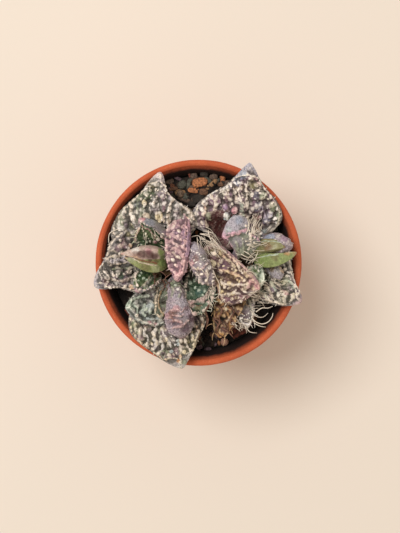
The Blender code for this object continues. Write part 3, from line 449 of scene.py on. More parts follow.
# What the leaves of a kind share; share is how much of the fingers, knobs and beads they have.
leafKinds = dict(
    warty=dict(slot="leaf", faced=True, share=(1, 1, 1), chinBead=0.22, rim=1),
    hollow=dict(slot="leaf", faced=True, share=(0.3, 0.4, 1), chinBead=0.22, rim=1),
    dried=dict(slot="dried", faced=True, share=(1.2, 0.9, 0.8), chinBead=0, rim=1),
    keel=dict(slot="keel", faced=False, share=(0.25, 0.3, 0.6), chinBead=0.22, rim=0, face=(0, 0, 0, 0, 0),
              warts=0, band=(0.1, 0.1)),
    bud=dict(slot="young", faced=False, share=(0, 0, 0), chinBead=0, rim=0, face=(0, 0, 0, 0, 0), warts=0,
             band=(0, 0), vee=(0.9, 1), bristles=(0, 0, 0), grid=(90, 8, 84)))
leaves = {
    "bud_left_north": dict(
        kind="bud", coat="budRed", base=(-14, 2.8, 84), bend=(-20.5, 4.6, 92.5), tip=(-31, 3.4, 94),
        right=(2.8, 3.6, 3.4, 2, 0.5), left=(2.6, 3.4, 3.2, 1.9, 0.5), keel=(3, 4.4, 4.4, 2.6, 0.8),
        roll=200),
    "bud_left_south": dict(
        kind="bud", coat="budOlive", base=(-14, 0.4, 83), bend=(-20, -1.6, 90.5), tip=(-29.6, 2.2, 92.5),
        right=(2.6, 3.4, 3.4, 2.2, 0.5), left=(2.6, 3.8, 3.8, 2.3, 0.5), keel=(3, 4.6, 4.6, 2.8, 0.8),
        roll=130),
    "bud_right_north": dict(
        kind="bud", coat="budRosy", base=(23, 5.8, 83), bend=(28, 7.4, 91.5), tip=(35, 6.4, 92.5),
        right=(2.8, 3.3, 3.3, 2.8, 1.4), left=(2.8, 3.3, 3.4, 2.8, 1.4), keel=(3, 4.2, 4.2, 3, 1.4),
        roll=-150),
    "bud_right_south": dict(
        kind="bud", coat="budGreen", base=(23.4, 2.2, 83), bend=(30.5, 0.4, 89.5), tip=(38.8, 4.2, 95),
        right=(2.6, 3.6, 3.8, 2.8, 1.5), left=(2.6, 3.4, 3.2, 2.6, 1.5), keel=(3, 4.2, 4.2, 3, 1.4),
        roll=-125),
    "leaf_left_northwest": dict(
        kind="hollow", coat="hollowGreen", base=(-11.5, 6.5, 79), bend=(-16.5, 11, 93),
        tip=(-23.6, 17.6, 92.5), right=(2.4, 2.4, 2, 1.8, 1.2), left=(5, 10.5, 11, 8, 2),
        keel=(4, 6, 6, 4.6, 2.4), face=(0, -1.2, -1.6, -0.8, 0.6), roll=-42, warts=0.9, grid=(100, 76, 30),
        band=(0.9, 0.06), vee=(0.8, 0.97), bristles=(3, 6, 3)),
    "leaf_left_small_southwest": dict(
        kind="hollow", coat="hollowGreen", base=(-16, -3.5, 78), bend=(-21, -5, 87.5), tip=(-24.8, -12, 90),
        right=(3, 5.2, 5.6, 4.4, 1.8), left=(3, 4.4, 4.6, 3.6, 1.6), keel=(3, 5, 5, 4, 2),
        face=(0, -1.2, -1.4, -0.8, 0.6), roll=10, warts=0.8, grid=(80, 60, 20), band=(0.08, 0.1),
        vee=(0.84, 0.97), bristles=(4, 3, 2.4)),
    "leaf_left_across": dict(
        kind="warty", coat="rose", base=(-7, 19, 78), bend=(-6.2, 7, 97.5), tip=(-8.4, -7.4, 91),
        right=(5, 7.2, 7, 5.8, 2.6), left=(3.4, 3.6, 3.2, 2.8, 1.8), keel=(4, 6.5, 7, 6, 3),
        face=(0.2, 0.4, 0.2, 0.2, 0.8), roll=24, warts=1.3, grid=(130, 70, 30), band=(0.06, 0.3),
        vee=(0.82, 0.94), bristles=(4, 2, 2.4)),
    "leaf_left_keel_south": dict(
        kind="keel", coat="lilac", base=(-9.4, -6.6, 80), bend=(-9.4, -16, 97), tip=(-6.4, -29.6, 85),
        right=(2.4, 2.9, 4, 5.6, 3.6), left=(2.4, 2.9, 4, 5.6, 3.6), keel=(3, 4, 4.8, 5, 3.2), roll=180,
        grid=(120, 10, 100), vee=(0.8, 0.95), bristles=(4, 4, 2.6)),
    "leaf_left_cupped": dict(
        kind="hollow", coat="hollowGrey", base=(-13, -7, 78), bend=(-16, -13.5, 86), tip=(-15.4, -22.4, 88),
        right=(2.4, 2.8, 2.8, 2.6, 1.6), left=(3, 4, 4, 3.4, 1.8), keel=(3, 5, 5, 4.2, 2.2),
        face=(0, -1.4, -1.8, -1, 0.4), roll=14, warts=0.7, grid=(80, 60, 20), band=(0.08, 0.08),
        vee=(0.86, 0.98), bristles=(3, 3, 2.4)),
    "leaf_left_hollow_south": dict(
        kind="hollow", coat="hollowDeep", base=(0, -1.5, 79), bend=(1, -12, 87.5), tip=(-3, -21.4, 89.5),
        right=(3.5, 5.6, 6, 4.6, 2), left=(3.5, 6.4, 7.2, 5.6, 2.2), keel=(3.5, 5.5, 6, 5, 2.6),
        face=(0, -1.8, -2.2, -1.4, 0.4), roll=0, warts=0.9, grid=(100, 84, 30), band=(0.08, 0.08),
        vee=(0.84, 0.97), bristles=(6, 9, 3.2)),
    "leaf_left_keel_middle": dict(
        kind="keel", coat="lilac", base=(-2, 6, 82), bend=(-0.6, -0.5, 97), tip=(5.6, -8.4, 88),
        right=(2.8, 3.5, 3.7, 3.2, 1.8), left=(2.8, 3.5, 3.7, 3.2, 1.8), keel=(3, 4.6, 5, 4.2, 2.4),
        roll=170, grid=(120, 10, 90), vee=(0.8, 0.95), bristles=(5, 7, 3.2)),
    "leaf_right_across": dict(
        kind="warty", coat="olive", base=(3.6, 8, 80), bend=(12.2, 0.8, 92.5), tip=(24.4, -10.4, 91.5),
        right=(5, 7.8, 11, 14.6, 11.5), left=(0.8, 2.8, 2.8, 2.6, 1.8), keel=(4, 6.5, 7, 6, 3),
        face=(0.2, 0.6, 0.6, 0.4, 0.8), roll=16, warts=1.4, grid=(160, 120, 30), band=(0.05, 0.35),
        vee=(0.9, 0.98), bristles=(7, 4, 3.4)),
    # the band makes its north half the pale lilac chin colour and its south face the grey flesh: partly the
    # leaf's own colours, partly painted light on the north facet and painted shade on the south one
    "leaf_right_northwest": dict(
        kind="hollow", coat="hollowSmooth", base=(27.5, 4.5, 80), bend=(21, 16.4, 90),
        tip=(9.4, 10.4, 92.5), right=(3, 3.4, 4.4, 6.8, 1.6), left=(6.5, 14.5, 15.4, 10.5, 2.2),
        keel=(4, 5, 5.4, 4.4, 2.2), face=(0, 5, 6, 4, 0.6), roll=-14, crown=1.15, warts=0.9,
        grid=(120, 110, 40), band=(0.96, 0.02), vee=(0.86, 0.99), bristles=(2, 7, 3.4)),
    "leaf_right_east": dict(
        kind="keel", coat="lilac", base=(26, 7.6, 79), bend=(31.4, 9, 91), tip=(37.2, 5.6, 90.5),
        right=(2.8, 3.4, 3.5, 2.9, 1.5), left=(2.8, 3.4, 3.5, 2.9, 1.5), keel=(3, 4.2, 4.2, 3.4, 1.7),
        roll=160, grid=(70, 10, 50), vee=(0.8, 0.95), bristles=(4, 3, 2.6)),
    "leaf_right_mint": dict(
        kind="warty", coat="mint", base=(22, -1, 79), bend=(23.6, -4, 88), tip=(24.8, -9.6, 88),
        right=(2.6, 3.2, 3.2, 2.6, 1.6), left=(2.6, 3.2, 3.2, 2.6, 1.6), keel=(2.4, 3.6, 4, 3.2, 1.8),
        face=(0.2, 0.3, 0.3, 0.3, 0.6), roll=0, warts=0.6, grid=(80, 60, 16), band=(0.1, 0.1),
        vee=(0.84, 0.96), bristles=(3, 3, 2.2)),
    "leaf_right_ridge": dict(
        kind="keel", coat="pale", base=(28.5, -1.5, 78), bend=(32, -4, 87.5), tip=(32.6, -6.6, 86.5),
        right=(1.4, 1.8, 1.9, 1.6, 1), left=(1.4, 1.8, 1.9, 1.6, 1), keel=(2, 2.8, 3, 2.4, 1.4), roll=180,
        grid=(60, 8, 40), vee=(0.84, 0.96), bristles=(2, 2, 2.2)),
    "leaf_right_west": dict(
        kind="hollow", coat="hollowRed", base=(17.5, 9, 76), bend=(9.5, 14.5, 82.5), tip=(3.4, 19.6, 86),
        right=(5, 7, 7, 5.4, 2.4), left=(5, 7, 6.4, 5, 2.4), keel=(4, 6.5, 7, 5.4, 2.8),
        face=(0, -2, -2.4, -1.4, 0.4), roll=0, warts=1, rim=0, grid=(90, 76, 20), band=(0.06, 0.06),
        vee=(0.86, 0.97), bristles=(5, 4, 2.6)),
    "leaf_left_southwest": dict(
        kind="warty", coat="mintGrey", base=(-13.5, -9.5, 76.5), bend=(-20, -17, 84.5),
        tip=(-29.4, -18.4, 86.5), right=(4, 6, 6.4, 4.6, 2.4), left=(4, 11, 11.6, 8, 2.6),
        keel=(4, 6.5, 7, 5, 3), face=(0.4, 0.8, 1, 0.8, 0.8), roll=0, warts=1.3, grid=(120, 96, 24),
        band=(0.06, 0.06), vee=(0.8, 0.95), bristles=(4, 5, 2.2)),
    "leaf_right_small_south": dict(
        kind="hollow", coat="hollowWhite", base=(20.6, -2, 74), bend=(18.8, -17, 80.5), tip=(19.8, -27, 79),
        right=(2.8, 3.6, 3.6, 3, 1.6), left=(2.8, 3.6, 3.6, 3, 1.6), keel=(2.4, 3.6, 3.8, 3, 1.8),
        face=(0, -0.8, -1, -0.6, 0.2), roll=0, warts=0.6, grid=(90, 64, 16), band=(0.12, 0.12),
        vee=(0.88, 0.98), bristles=(7, 7, 4)),
    "leaf_right_dried": dict(
        kind="dried", coat="dried", base=(19.4, 0.8, 74.5), bend=(12.2, -18, 83.5), tip=(8.2, -30.6, 79.5),
        right=(4, 5.6, 6.4, 4.8, 2.4), left=(4, 6, 5.6, 4.2, 2.2), keel=(3, 3.8, 3.6, 3, 1.8),
        face=(0.2, 0.4, 0.4, 0.2, 0.2), roll=-6, warts=1.3, grid=(110, 76, 24), band=(0, 0), vee=(0.94, 1),
        bristles=(6, 6, 4.4)),
    "leaf_left_north": dict(
        kind="warty", coat="greyGreen", base=(-14, 4, 76), bend=(-18.5, 20, 82), tip=(-15.4, 36.6, 84),
        right=(7, 15, 14.2, 4.4, 1.8), left=(8, 19.6, 16.4, 6.8, 2.6), keel=(6, 8.5, 9, 7, 4.6),
        face=(-1.5, -1.5, 1.6, 0.8, 1.2), roll=0, warts=2, grid=(170, 170, 20), band=(0.04, 0.05),
        vee=(0.84, 0.9), bristles=(5, 6, 1.3)),
    "leaf_left_west": dict(
        kind="warty", coat="greyLilac", base=(-15.5, -0.5, 76), bend=(-29, -1.5, 82), tip=(-42, -9.6, 84.5),
        right=(7, 16, 15.4, 7.4, 3.4), left=(7, 12, 9.4, 4.6, 2.8), keel=(6, 8.5, 9, 6.5, 4.6),
        face=(-1.5, -1.8, 1.2, 0.8, 1.2), roll=0, warts=1.9, grid=(170, 150, 20), band=(0.05, 0.06),
        vee=(0.84, 0.92), bristles=(5, 6, 1.3)),
    "leaf_left_south": dict(
        kind="warty", coat="greyYellow", base=(-12, -8, 76), bend=(-13, -26, 81), tip=(-6.4, -42.6, 86),
        right=(7, 15, 17, 9.6, 3), left=(7, 13.6, 14.4, 9, 2.8), keel=(6, 8.5, 9, 7, 4.6),
        face=(-1, -0.5, 1.2, 0.8, 1.2), roll=0, warts=2, grid=(170, 170, 20), band=(0.04, 0.04),
        vee=(0.84, 0.9), bristles=(6, 6, 1.3)),
    "leaf_right_north": dict(
        kind="warty", coat="greyViolet", base=(21, 9, 76), bend=(19.5, 24, 82), tip=(20.6, 40.2, 86.5),
        right=(7, 13.6, 12, 5.6, 2), left=(9, 22.4, 20.6, 8, 2), keel=(6, 8.5, 9, 7, 4.6),
        face=(-1.5, -2, 1.4, 0.8, 1.2), roll=0, warts=2, grid=(170, 170, 20), band=(0.04, 0.05),
        vee=(0.8, 0.9), bristles=(5, 8, 1.4)),
    "leaf_right_southeast": dict(
        kind="warty", coat="greyPink", base=(25, 0.5, 76), bend=(33, -6, 81.5), tip=(41.2, -16.2, 85.5),
        right=(6, 10.4, 11.4, 8.6, 3.8), left=(7, 11.6, 6.8, 3.2, 2.4), keel=(6, 8, 8, 6, 4.2),
        face=(-1, -0.5, 1, 0.8, 1.2), roll=0, warts=1.7, grid=(150, 130, 20), band=(0.05, 0.05),
        vee=(0.86, 0.94), bristles=(6, 7, 1.6)),
}

# What a coat leaves out is never seen on its leaves.
plainCoat = dict(flesh="808080", share=0.5, wart="808080", second="808080", edge="808080")
# deep is the colour of the pits between the warts: painted shade there, partly the darker flesh
coats = {
    "greyGreen": dict(flesh="87857D", tint="988894", share=0.42, deep="4B4C46", wart="F5F1EE",
                     second="E2DBD2", chin="D3C9C9", chinDark="7E7680", edge="EFE4D2", tip="E3C6CC"),
    "greyLilac": dict(flesh="5F5C5A", tint="776473", share=0.5, deep="3D3B38", wart="DCD4CE",
                     second="D8C8BC", chin="C4BFC6", chinDark="686676", edge="EFE6D8", tip="B9BAC9"),
    "greyYellow": dict(flesh="6A6656", tint="75646F", share=0.4, deep="434038", wart="E2D9CC",
                      second="DACDAE", chin="BFBBB8", chinDark="626066", edge="EFE5CC", tip="D5D3D2"),
    "greyViolet": dict(flesh="6B675C", tint="82687A", share=0.52, deep="463E3C", wart="F1EAE1",
                      second="DFD3C6", chin="C6C6D2", chinDark="626882", edge="F1EADC", tip="C9CBDD"),
    "greyPink": dict(flesh="727062", tint="80707C", share=0.45, deep="45443C", wart="E9E2D7",
                    second="DAD2BC", chin="B9B3BC", chinDark="75707F", edge="F3E9DC", tip="E5BEC0"),
    "rose": dict(flesh="8C727F", tint="A58291", share=0.55, deep="5C4852", wart="E9D2CE", second="E0BFC0",
                chin="C39BB0", chinDark="9C7690", edge="E9C3C6", tip="DDA5B6"),
    "olive": dict(flesh="74624A", tint="75545E", share=0.5, deep="4C3735", wart="E8DAC8", second="DAC9A2",
                 chin="C79FAC", chinDark="9A7584", edge="EBD0BF", tip="E9BDB5"),
    "mintGrey": dict(flesh="6A6E69", tint="776C72", share=0.4, deep="363B36", wart="BFC0B8", second="ABAFA5",
                    chin="9BA5A4", chinDark="6C7779", edge="D9DDD4", tip="B8C7C6"),
    "mint": dict(flesh="8FA087", tint="9AA596", share=0.35, deep="53624C", wart="E6EBDD", second="D5DFC9",
                chin="B4C3B2", chinDark="8B9C8B", edge="E4E8DC", tip="CBD6C6"),
    "pale": dict(tint="A3979F", deep="55525A", wart="E9E2D6", second="D9D6C0", chin="A9A4AE",
                chinDark="77727F", tip="C9C0C7"),
    "hollowGreen": dict(flesh="3F6138", tint="5C6B4B", share=0.45, deep="1B3217", wart="D8DDC2",
                       second="B9C79D", chin="A3A0A8", chinDark="504C5A", edge="E3D3CB", tip="D79BB1"),
    "hollowDeep": dict(flesh="3B5944", tint="57695A", share=0.45, deep="15281D", wart="CBD6C4",
                      second="A9BFA6", chin="A3A596", chinDark="6F725F", edge="E8D6CD", tip="D9C3C4"),
    "hollowGrey": dict(flesh="6C7566", tint="7E7B74", share=0.45, deep="323A2E", wart="D9D8C8",
                      second="C6C3AA", chin="A5A596", chinDark="74766A", edge="D9C9B4", tip="CDBBB0"),
    # the dark maroon of this coat is partly the leaf's own colour, partly painted shade of a hollow that lies
    # in deep shadow
    "hollowRed": dict(flesh="5F3438", tint="7A5058", share=0.5, deep="2B1417", wart="CDB9B0",
                     second="B8A793", chin="8C7A72", chinDark="5E4C48", edge="E4DCCB", tip="DAD2C2"),
    "hollowSmooth": dict(flesh="8B9182", tint="98939B", share=0.45, deep="565C53", wart="CFCFC4",
                        second="C3C0B4", chin="B2AFBA", chinDark="504E60", edge="D9AFC3", tip="D8A6BC"),
    "hollowWhite": dict(flesh="8E8C80", tint="9A8E97", share=0.45, deep="4A483F", wart="F2EFE7",
                       second="E6E0CF", chin="B7B5AF", chinDark="86857E", edge="F4F1EA", tip="EFEAE2"),
    "lilac": dict(tint="B9A9BC", deep="6B6670", wart="E6DAD6", second="D9CFC6", chin="A59AA4",
                 chinDark="4A424C", tip="BE949E"),
    "dried": dict(flesh="6E4E34", tint="5C3E38", share=0.5, deep="22140D", wart="CDB08A", second="C79C62",
                 chin="8A6A4A", chinDark="4E3524", edge="CBAE84", tip="9A7448"),
    "budRed": dict(tint="C9A29E", deep="5B2A22", chin="D9C9C0", chinDark="D9C9C0", tip="C98F88"),
    "budOlive": dict(tint="7A8A50", deep="55602C", chin="8D9262", chinDark="787C4E", tip="B98A6A"),
    "budRosy": dict(tint="8C7A5A", deep="535A2C", chin="90946C", chinDark="807A56", tip="B4836A"),
    "budGreen": dict(tint="8C9864", deep="4F6B2E", chin="8D9C68", chinDark="798A52", tip="B98E70"),
}


# Marks on the leaves. A line names a kind and a tint, and its marks are parted by commas: the sizes in
# mm, then x and y of each place as seen from above. Sizes of a patch: reach, share; of a ridge: half
# width at both ends, height; of beads: radius, height, distance; of a lump: radius, height.

marks = {
    "leaf_left_north": """
patch olive 2 0.9 -19.1 30.6
patch green 2.5 0.8 -19.9 28.2, 2.9 0.6 -23.2 27.3, 2.9 0.5 -27.3 24.9
patch slate 1.4 0.8 -24.8 23.7
patch mauve 2 0.8 -28.1 18.3, 1.4 0.7 -14.6 22.4, 2 0.5 -17.1 21.6
patch umber 2 0.6 -6 21.2
patch mauve 1.8 0.7 -9.3 20.4
patch dark 1.3 0.9 -20.7 20, 1.1 0.8 -20.3 24.1, 1.2 0.7 -13.4 19.1
patch green 2 0.6 -33.5 16.7
patch olive 1.8 0.9 -29.4 12.2
patch lime 1.4 0.8 -27.3 14.6
patch pink 2 0.5 -8.9 17.1
patch dark 1.2 0.7 -2.7 16.3
patch grey 2 0.5 -10.5 24.5
ridge sage 0.61 1.15 0.9 -29.4 25.7 -31 22.4 -31.8 18.3 -31.4 15
ridge sand 0.82 1.23 1.2 -26.9 26.9 -27.7 24.1 -27.7 21.2 -28.1 19.1
ridge sage 0.53 0.78 0.8 -24 26.9 -24.8 24.1 -24.8 20.8
ridge sage 0.74 1.23 1.4 -21.2 26.9 -22 24.5 -22.8 21.6 -23.6 18.7
ridge dusk 1.07 2.46 2 -18.3 26.5 -18.7 23.2 -17.1 20.4 -15.8 17.9
ridge mauve 0.61 0.86 1 -14.6 27.3 -14.2 24.5 -14.6 21.2
ridge sand 0.61 0.9 1.2 -10.9 26.1 -11.7 23.2 -12.5 20 -12.5 16.7
ridge dusk 0.66 0.9 0.9 -9.3 24.5 -8.9 21.6 -9.7 19.1
ridge sand 0.74 1.07 1 -7.2 24.5 -5.2 22.4 -3.9 20 -3.9 17.5, 0.45 0.66 0.6 -3.5 20.8 -1.5 17.9 -1.1 15
beads cream 0.49 0.5 1.1 -19.5 31.4 -21.6 30.2 -24 29 -26.9 26.9 -30.2 25.7 -31.8 23.7 -33 21.2 -33.9 18.7 \
-34.7 15.5
beads cream 0.53 0.5 1.2 -17.5 30.2 -14.6 29 -11.7 27.3 -8.9 25.7 -6 23.7 -3.5 21.6 -1.9 19.1 -0.7 16.7
beads cream 0.53 0.5 1.7 -23.2 26.1 -20.7 27.8 -18.3 27.3 -15.8 26.9 -13.4 26.5
beads cream 0.45 0.4 1.5 -27.7 26.1 -28.9 23.2 -29.8 20.4 -31.4 17.1
beads cream 0.41 0.4 1.4 -19.9 24.1 -19.9 20.8 -18.7 17.1 -17.1 15
beads cream 0.41 0.4 1.2 -12.1 23.7 -13 20.4 -13 17.1 -12.1 14.2
lump cream 1.02 0.8 -27.3 23.2
lump straw 1.19 0.9 -22 24.5, 1.72 2 -16.2 20
lump umber 0.82 0.2 -16.6 17.9
lump straw 0.7 0.5 -14.6 18.7
lump cream 0.66 0.5 -18.3 24.5
lump peach 1.8 2.2 -11.7 15.9
lump sand 1.56 1.8 -21.2 19.6
lump cream 1.31 1.5 -26.5 18.7, 0.61 0.8 -17.1 21.2, 0.61 0.8 -15 19.1, 0.61 0.8 -12.5 17.1
lump cream 0.61 0.8 -10.5 15
lump olive 0.66 0.2 -10.9 15.5
lump peach 0.86 0.7 -4.8 18.3
lump cream 0.94 0.8 -7.2 24.1, 0.7 0.6 -5.2 22
lump straw 0.7 0.6 -27.7 15.9
lump cream 0.61 0.5 -33 19.1""",
    "leaf_left_west": """
patch mauve 2.5 0.9 -31 7.3, 1.6 0.7 -33.5 5.6
patch grey 1.6 0.5 -34.7 7.7
patch olive 1.6 0.9 -29.4 11.8
patch dark 2.5 1 -30.2 -1.4, 2.5 1 -33.9 -3.4, 2 1 -28.5 -4.2
patch pine 2 0.9 -32.2 -5
patch umber 1.2 0.6 -38 -7.5
patch grey 2 0.6 -33 -9.1
patch dark 1.2 0.8 -33 8.1, 1.2 0.8 -30.6 4.8, 1.2 0.7 -37.1 -0.5
ridge dusk 0.57 0.9 1 -37.6 5.2 -35.5 7.7 -33 10.1 -30.6 12.2
ridge sand 0.53 0.82 0.9 -37.6 3.6 -35.5 4.8 -33 3.6 -30.6 4 -28.9 4.8
ridge sand 0.49 0.74 0.8 -38 1.5 -35.9 2.3 -33.5 2.3 -31 2.7
ridge lilac 1.07 1.48 1.6 -35.5 0.3 -33 0.7 -30.2 1.5 -28.5 0.7
ridge sand 0.33 0.41 1.2 -36.3 -1.4 -33.5 -0.9 -30.6 -0.1 -28.5 0.7
ridge sage 0.41 0.53 0.6 -35.5 -3 -33 -2.2 -30.2 -2.6 -27.7 -2.2
ridge sand 0.57 0.78 1 -36.3 -6.7 -33.9 -7.5 -31 -7.1 -27.7 -6.3
ridge dusk 0.57 0.82 0.8 -35.5 -8.7 -32.2 -9.1 -28.9 -9.1 -26.9 -8.7
ridge cream 0.37 0.37 0.5 -39.2 -3.4 -37.6 -5 -36.7 -7.1 -38.4 -9.1
beads cream 0.49 0.5 1.1 -31.8 12.2 -33.5 10.9 -35.1 9.3 -36.3 7.7 -36.7 5.6 -37.6 4 -38 1.9
beads cream 0.41 0.5 1 -38.4 -9.6 -36.3 -10.4 -33.9 -10.8 -31.4 -11.2 -29.8 -12.4 -28.1 -13.7 -26.1 -14.1 \
-24.4 -14.5
beads cream 0.37 0.3 1.1 -35.5 -4.6 -33 -5 -30.6 -4.2 -28.5 -3.4
lump cream 0.74 0.6 -33.5 10.5, 0.7 0.6 -35.5 8.1, 0.61 0.6 -32.6 8.9
lump peach 1.11 1 -28.5 6.8
lump cream 0.61 0.5 -37.1 3.6
lump straw 0.61 0.5 -35.1 2.3
lump cream 0.61 0.5 -32.6 3.6
lump peach 1.02 0.8 -27.7 -9.6
lump cream 0.86 0.7 -30.2 -9.6
lump grey 0.82 0.5 -33.9 -8.7
lump cream 0.57 0.4 -35.1 -5.5""",
    "leaf_left_northwest": """
patch blue 2.5 0.5 -19.9 16.7
patch dusk 2 0.5 -17.1 14.2
patch orchid 1.6 0.6 -13.8 12.2
patch plum 1 0.5 -15.8 10.9
patch pink 1.2 1 -22.8 18.3
patch pine 2.9 1 -22.8 9.3
patch dark 2 0.9 -20.3 8.1
patch green 1.4 0.7 -23.6 10.1
ridge pink 0.37 0.37 0.5 -23.2 15.5 -20.7 13.8 -18.3 11.4 -16.6 8.9
ridge peach 0.49 0.57 0.8 -24.4 14.6 -25.3 11.8 -26.1 9.3 -26.5 6.4
beads cream 0.45 0.5 0.9 -23.2 14.2 -22 12.6 -20.7 10.9 -19.9 8.9
beads mint 0.37 0.3 1.1 -24.4 6.8 -23.6 8.1 -22 8.9 -20.7 6.8
lump cream 0.7 0.7 -16.6 10.1, 0.7 0.7 -15 11.4
lump straw 0.66 0.7 -15.4 8.5
lump pink 0.66 0.5 -17.9 8.9""",
    "leaf_left_small_southwest": """
patch pine 3.3 1 -22.8 -5
patch green 2 0.8 -22 -6.3
patch grey 1.6 0.7 -20.7 -9.6
patch rust 1.8 0.9 -17.5 -5, 1.2 0.7 -17.1 -8.3
ridge cream 0.33 0.37 0.6 -26.9 -2.6 -26.5 -5 -25.7 -7.5 -25.3 -10
ridge dusk 0.66 0.82 1 -18.3 -5.9 -20.3 -7.9 -22.4 -10
ridge sand 0.41 0.49 0.8 -19.9 -5.5 -21.2 -7.9 -23.2 -10
lump mint 0.57 0.4 -24.4 -5.5, 0.61 0.4 -22.8 -6.7, 0.53 0.4 -24.8 -7.5, 0.53 0.4 -21.6 -7.5
lump mint 0.49 0.4 -23.6 -4.2
lump dusk 1.07 0.8 -24 -11.2
lump cream 0.74 0.6 -25.3 -9.6""",
    "leaf_left_across": """
patch orchid 2 0.9 -4.8 11.8, 2 0.9 -4.8 8.1, 2 0.7 -9.7 10.9
patch pink 2 0.8 -8.9 17.5
patch mauve 2 0.7 -10.9 19.1
patch dusk 2 0.7 -8.4 7.3
patch mauve 2 0.8 -10.9 4.4, 2.5 0.9 -10.5 0.3, 1.6 0.8 -12.5 -2.2
patch pink 2 1 -7.6 -3.8, 2 0.7 -5.2 -0.1
patch dark 1 0.6 -9.3 8.5, 1 0.6 -8.9 0.3, 0.8 0.6 -11.7 7.3
ridge rosy 0.49 0.66 0.8 -11.7 16.7 -9.3 17.9 -6.8 17.1
ridge rosy 0.57 0.66 0.9 -11.3 13.8 -8.9 14.6 -6.4 13.8 -4.8 12.6
ridge rosy 0.66 0.74 1 -13.4 9.7 -11.3 10.9 -9.3 9.7 -7.2 9.3 -4.8 8.1
ridge rosy 0.57 0.66 0.9 -12.5 8.1 -10.1 7.7 -8 6.4 -6 5.6, 0.66 0.74 1.1 -13.8 5.6 -13 4.4 -10.9 3.6
ridge rosy 0.74 0.94 1.2 -9.7 5.2 -7.2 4 -6 1.9 -6 -0.5, 0.7 1.07 1.3 -5.6 0.3 -5.6 -2.2 -6.8 -4.6 -8.9 -5.5
ridge sand 0.49 0.61 0.9 -9.7 3.6 -8.4 2.3 -7.2 1.5
ridge rosy 0.45 0.57 0.8 -13.8 -0.5 -12.5 -2.2 -10.5 -3, 0.49 0.66 0.9 -13.4 2.3 -13.8 0.3
ridge orchid 0.49 0.57 0.7 -4.3 15 -4.3 10.9 -4.3 6.8 -4.8 2.7
lump cream 0.66 0.6 -10.1 1.1, 0.61 0.6 -9.3 -0.9, 0.66 0.7 -7.6 1.9, 0.61 0.6 -10.9 16.7
lump cream 0.66 0.6 -7.6 12.2, 0.57 0.6 -9.7 13.8, 0.66 0.6 -13 4.8
lump sand 0.61 0.6 -11.3 9.7""",
    "leaf_left_keel_middle": """
patch lilac 2.5 0.9 -1.5 6.8, 2 0.7 1 4.8
patch grey 2 0.7 1.8 1.9
patch rust 1.8 0.6 -1.1 1.5
patch pink 1.2 0.8 -2.3 -0.1
patch dusk 2 0.6 3 -1.4
patch mauve 1.6 0.6 2.2 -4.6
patch umber 1.6 0.7 0.6 -3.8
patch dark 1 0.8 2.6 -6.3, 0.8 0.7 4.3 -3.4
patch umber 1.2 0.7 3.4 -8.7
ridge rosy 0.33 0.33 0.3 -3.9 6 -3.9 2.7 -3.1 -0.5, 0.49 0.61 0.9 -3.5 0.3 -1.5 -1.8 1 -2.6 3 -0.5
ridge cream 0.41 0.53 0.9 -0.7 -3.8 1 -5.9 2.2 -8.7
ridge sand 0.41 0.49 0.6 3 -2.2 3.4 -5.5 3.9 -8.7
beads cream 0.45 0.6 1 3.9 2.3 5.1 -0.9 5.5 -4.6 5.5 -8.3
beads lilac 0.41 0.3 0.9 -2.3 6.8 -0.2 6.8 1.8 5.2 3.4 2.7
beads white 0.37 0.3 0.9 -3.1 5.2 -1.5 4 0.6 2.7 2.6 0.7, 0.37 0.3 1 -2.3 1.9 -0.7 0.3 1.4 -0.5 3.4 -1.4
lump white 0.82 0.6 3.9 -2.2
lump sand 0.74 0.8 0.2 -1.8
lump rosy 0.66 0.5 -2.3 -0.1
lump cream 0.7 0.7 1.8 -4.2, 0.66 0.7 3.4 -6.7
lump rosy 0.74 0.8 0.6 -7.1""",
    "leaf_left_keel_south": """
patch sage 2 0.9 -9.3 -8.7
patch lilac 2 0.7 -8.4 -14.1, 2.5 0.9 -6.8 -16.9
patch pink 1.6 0.7 -8.9 -19
patch rust 2 0.8 -10.1 -21, 2 0.8 -9.3 -24.3
patch dusk 2.5 0.8 -5.2 -24.7
patch plum 2.5 0.9 -2.7 -22.7, 2.5 0.8 -6 -26.4
patch dark 1 0.6 -7.2 -21.9, 0.8 0.6 -9.7 -23.1
patch mauve 2.5 0.7 -9.3 -24.3
patch pink 1.6 0.6 -12.5 -21.9
patch wine 0.8 0.6 -9.3 -20.6
patch green 1.6 0.7 -10.5 -10
patch umber 1.2 0.6 -7.2 -9.6
patch mauve 1.2 0.8 -5.2 -18.6, 1.2 0.6 -11.7 -24.3
ridge sage 0.37 0.41 0.6 -10.5 -8.7 -10.1 -11.2 -10.5 -14.1, 0.37 0.41 0.6 -8.4 -8.3 -8 -11.2 -8.4 -14.5
ridge rosy 0.37 0.45 0.5 -11.3 -19.8 -9.3 -19 -7.2 -20.2 -6 -19, 0.37 0.45 0.5 -10.1 -21.4 -8 -21.9 -6.4 -21
ridge rosy 0.41 0.49 0.6 -11.3 -23.9 -9.3 -23.5 -7.6 -24.3
ridge rosy 0.41 0.53 0.7 -10.1 -26.4 -8 -26 -6 -24.7 -4.8 -23.5
ridge rust 0.33 0.33 0.3 -11.7 -22.7 -10.5 -22.7 -9.7 -23.9
lump white 0.49 0.3 -8.9 -11.2, 0.49 0.3 -7.6 -12
lump plum 0.7 -0.5 -10.1 -25.1
lump mint 0.57 0.4 -9.3 -9.6""",
    "leaf_left_cupped": """
patch dark 1.8 1 -14.6 -16.1
patch sage 1.6 0.8 -13.4 -12.8
patch mauve 1.2 0.5 -14.6 -19.4
patch sage 1.6 0.7 -15 -21.4
ridge tan 0.45 0.53 0.8 -14.6 -10.8 -16.2 -13.7 -16.6 -16.5 -15.8 -19.4 -13.8 -21.9
ridge sand 0.33 0.33 0.5 -12.5 -13.7 -12.5 -15.7 -11.7 -17.8""",
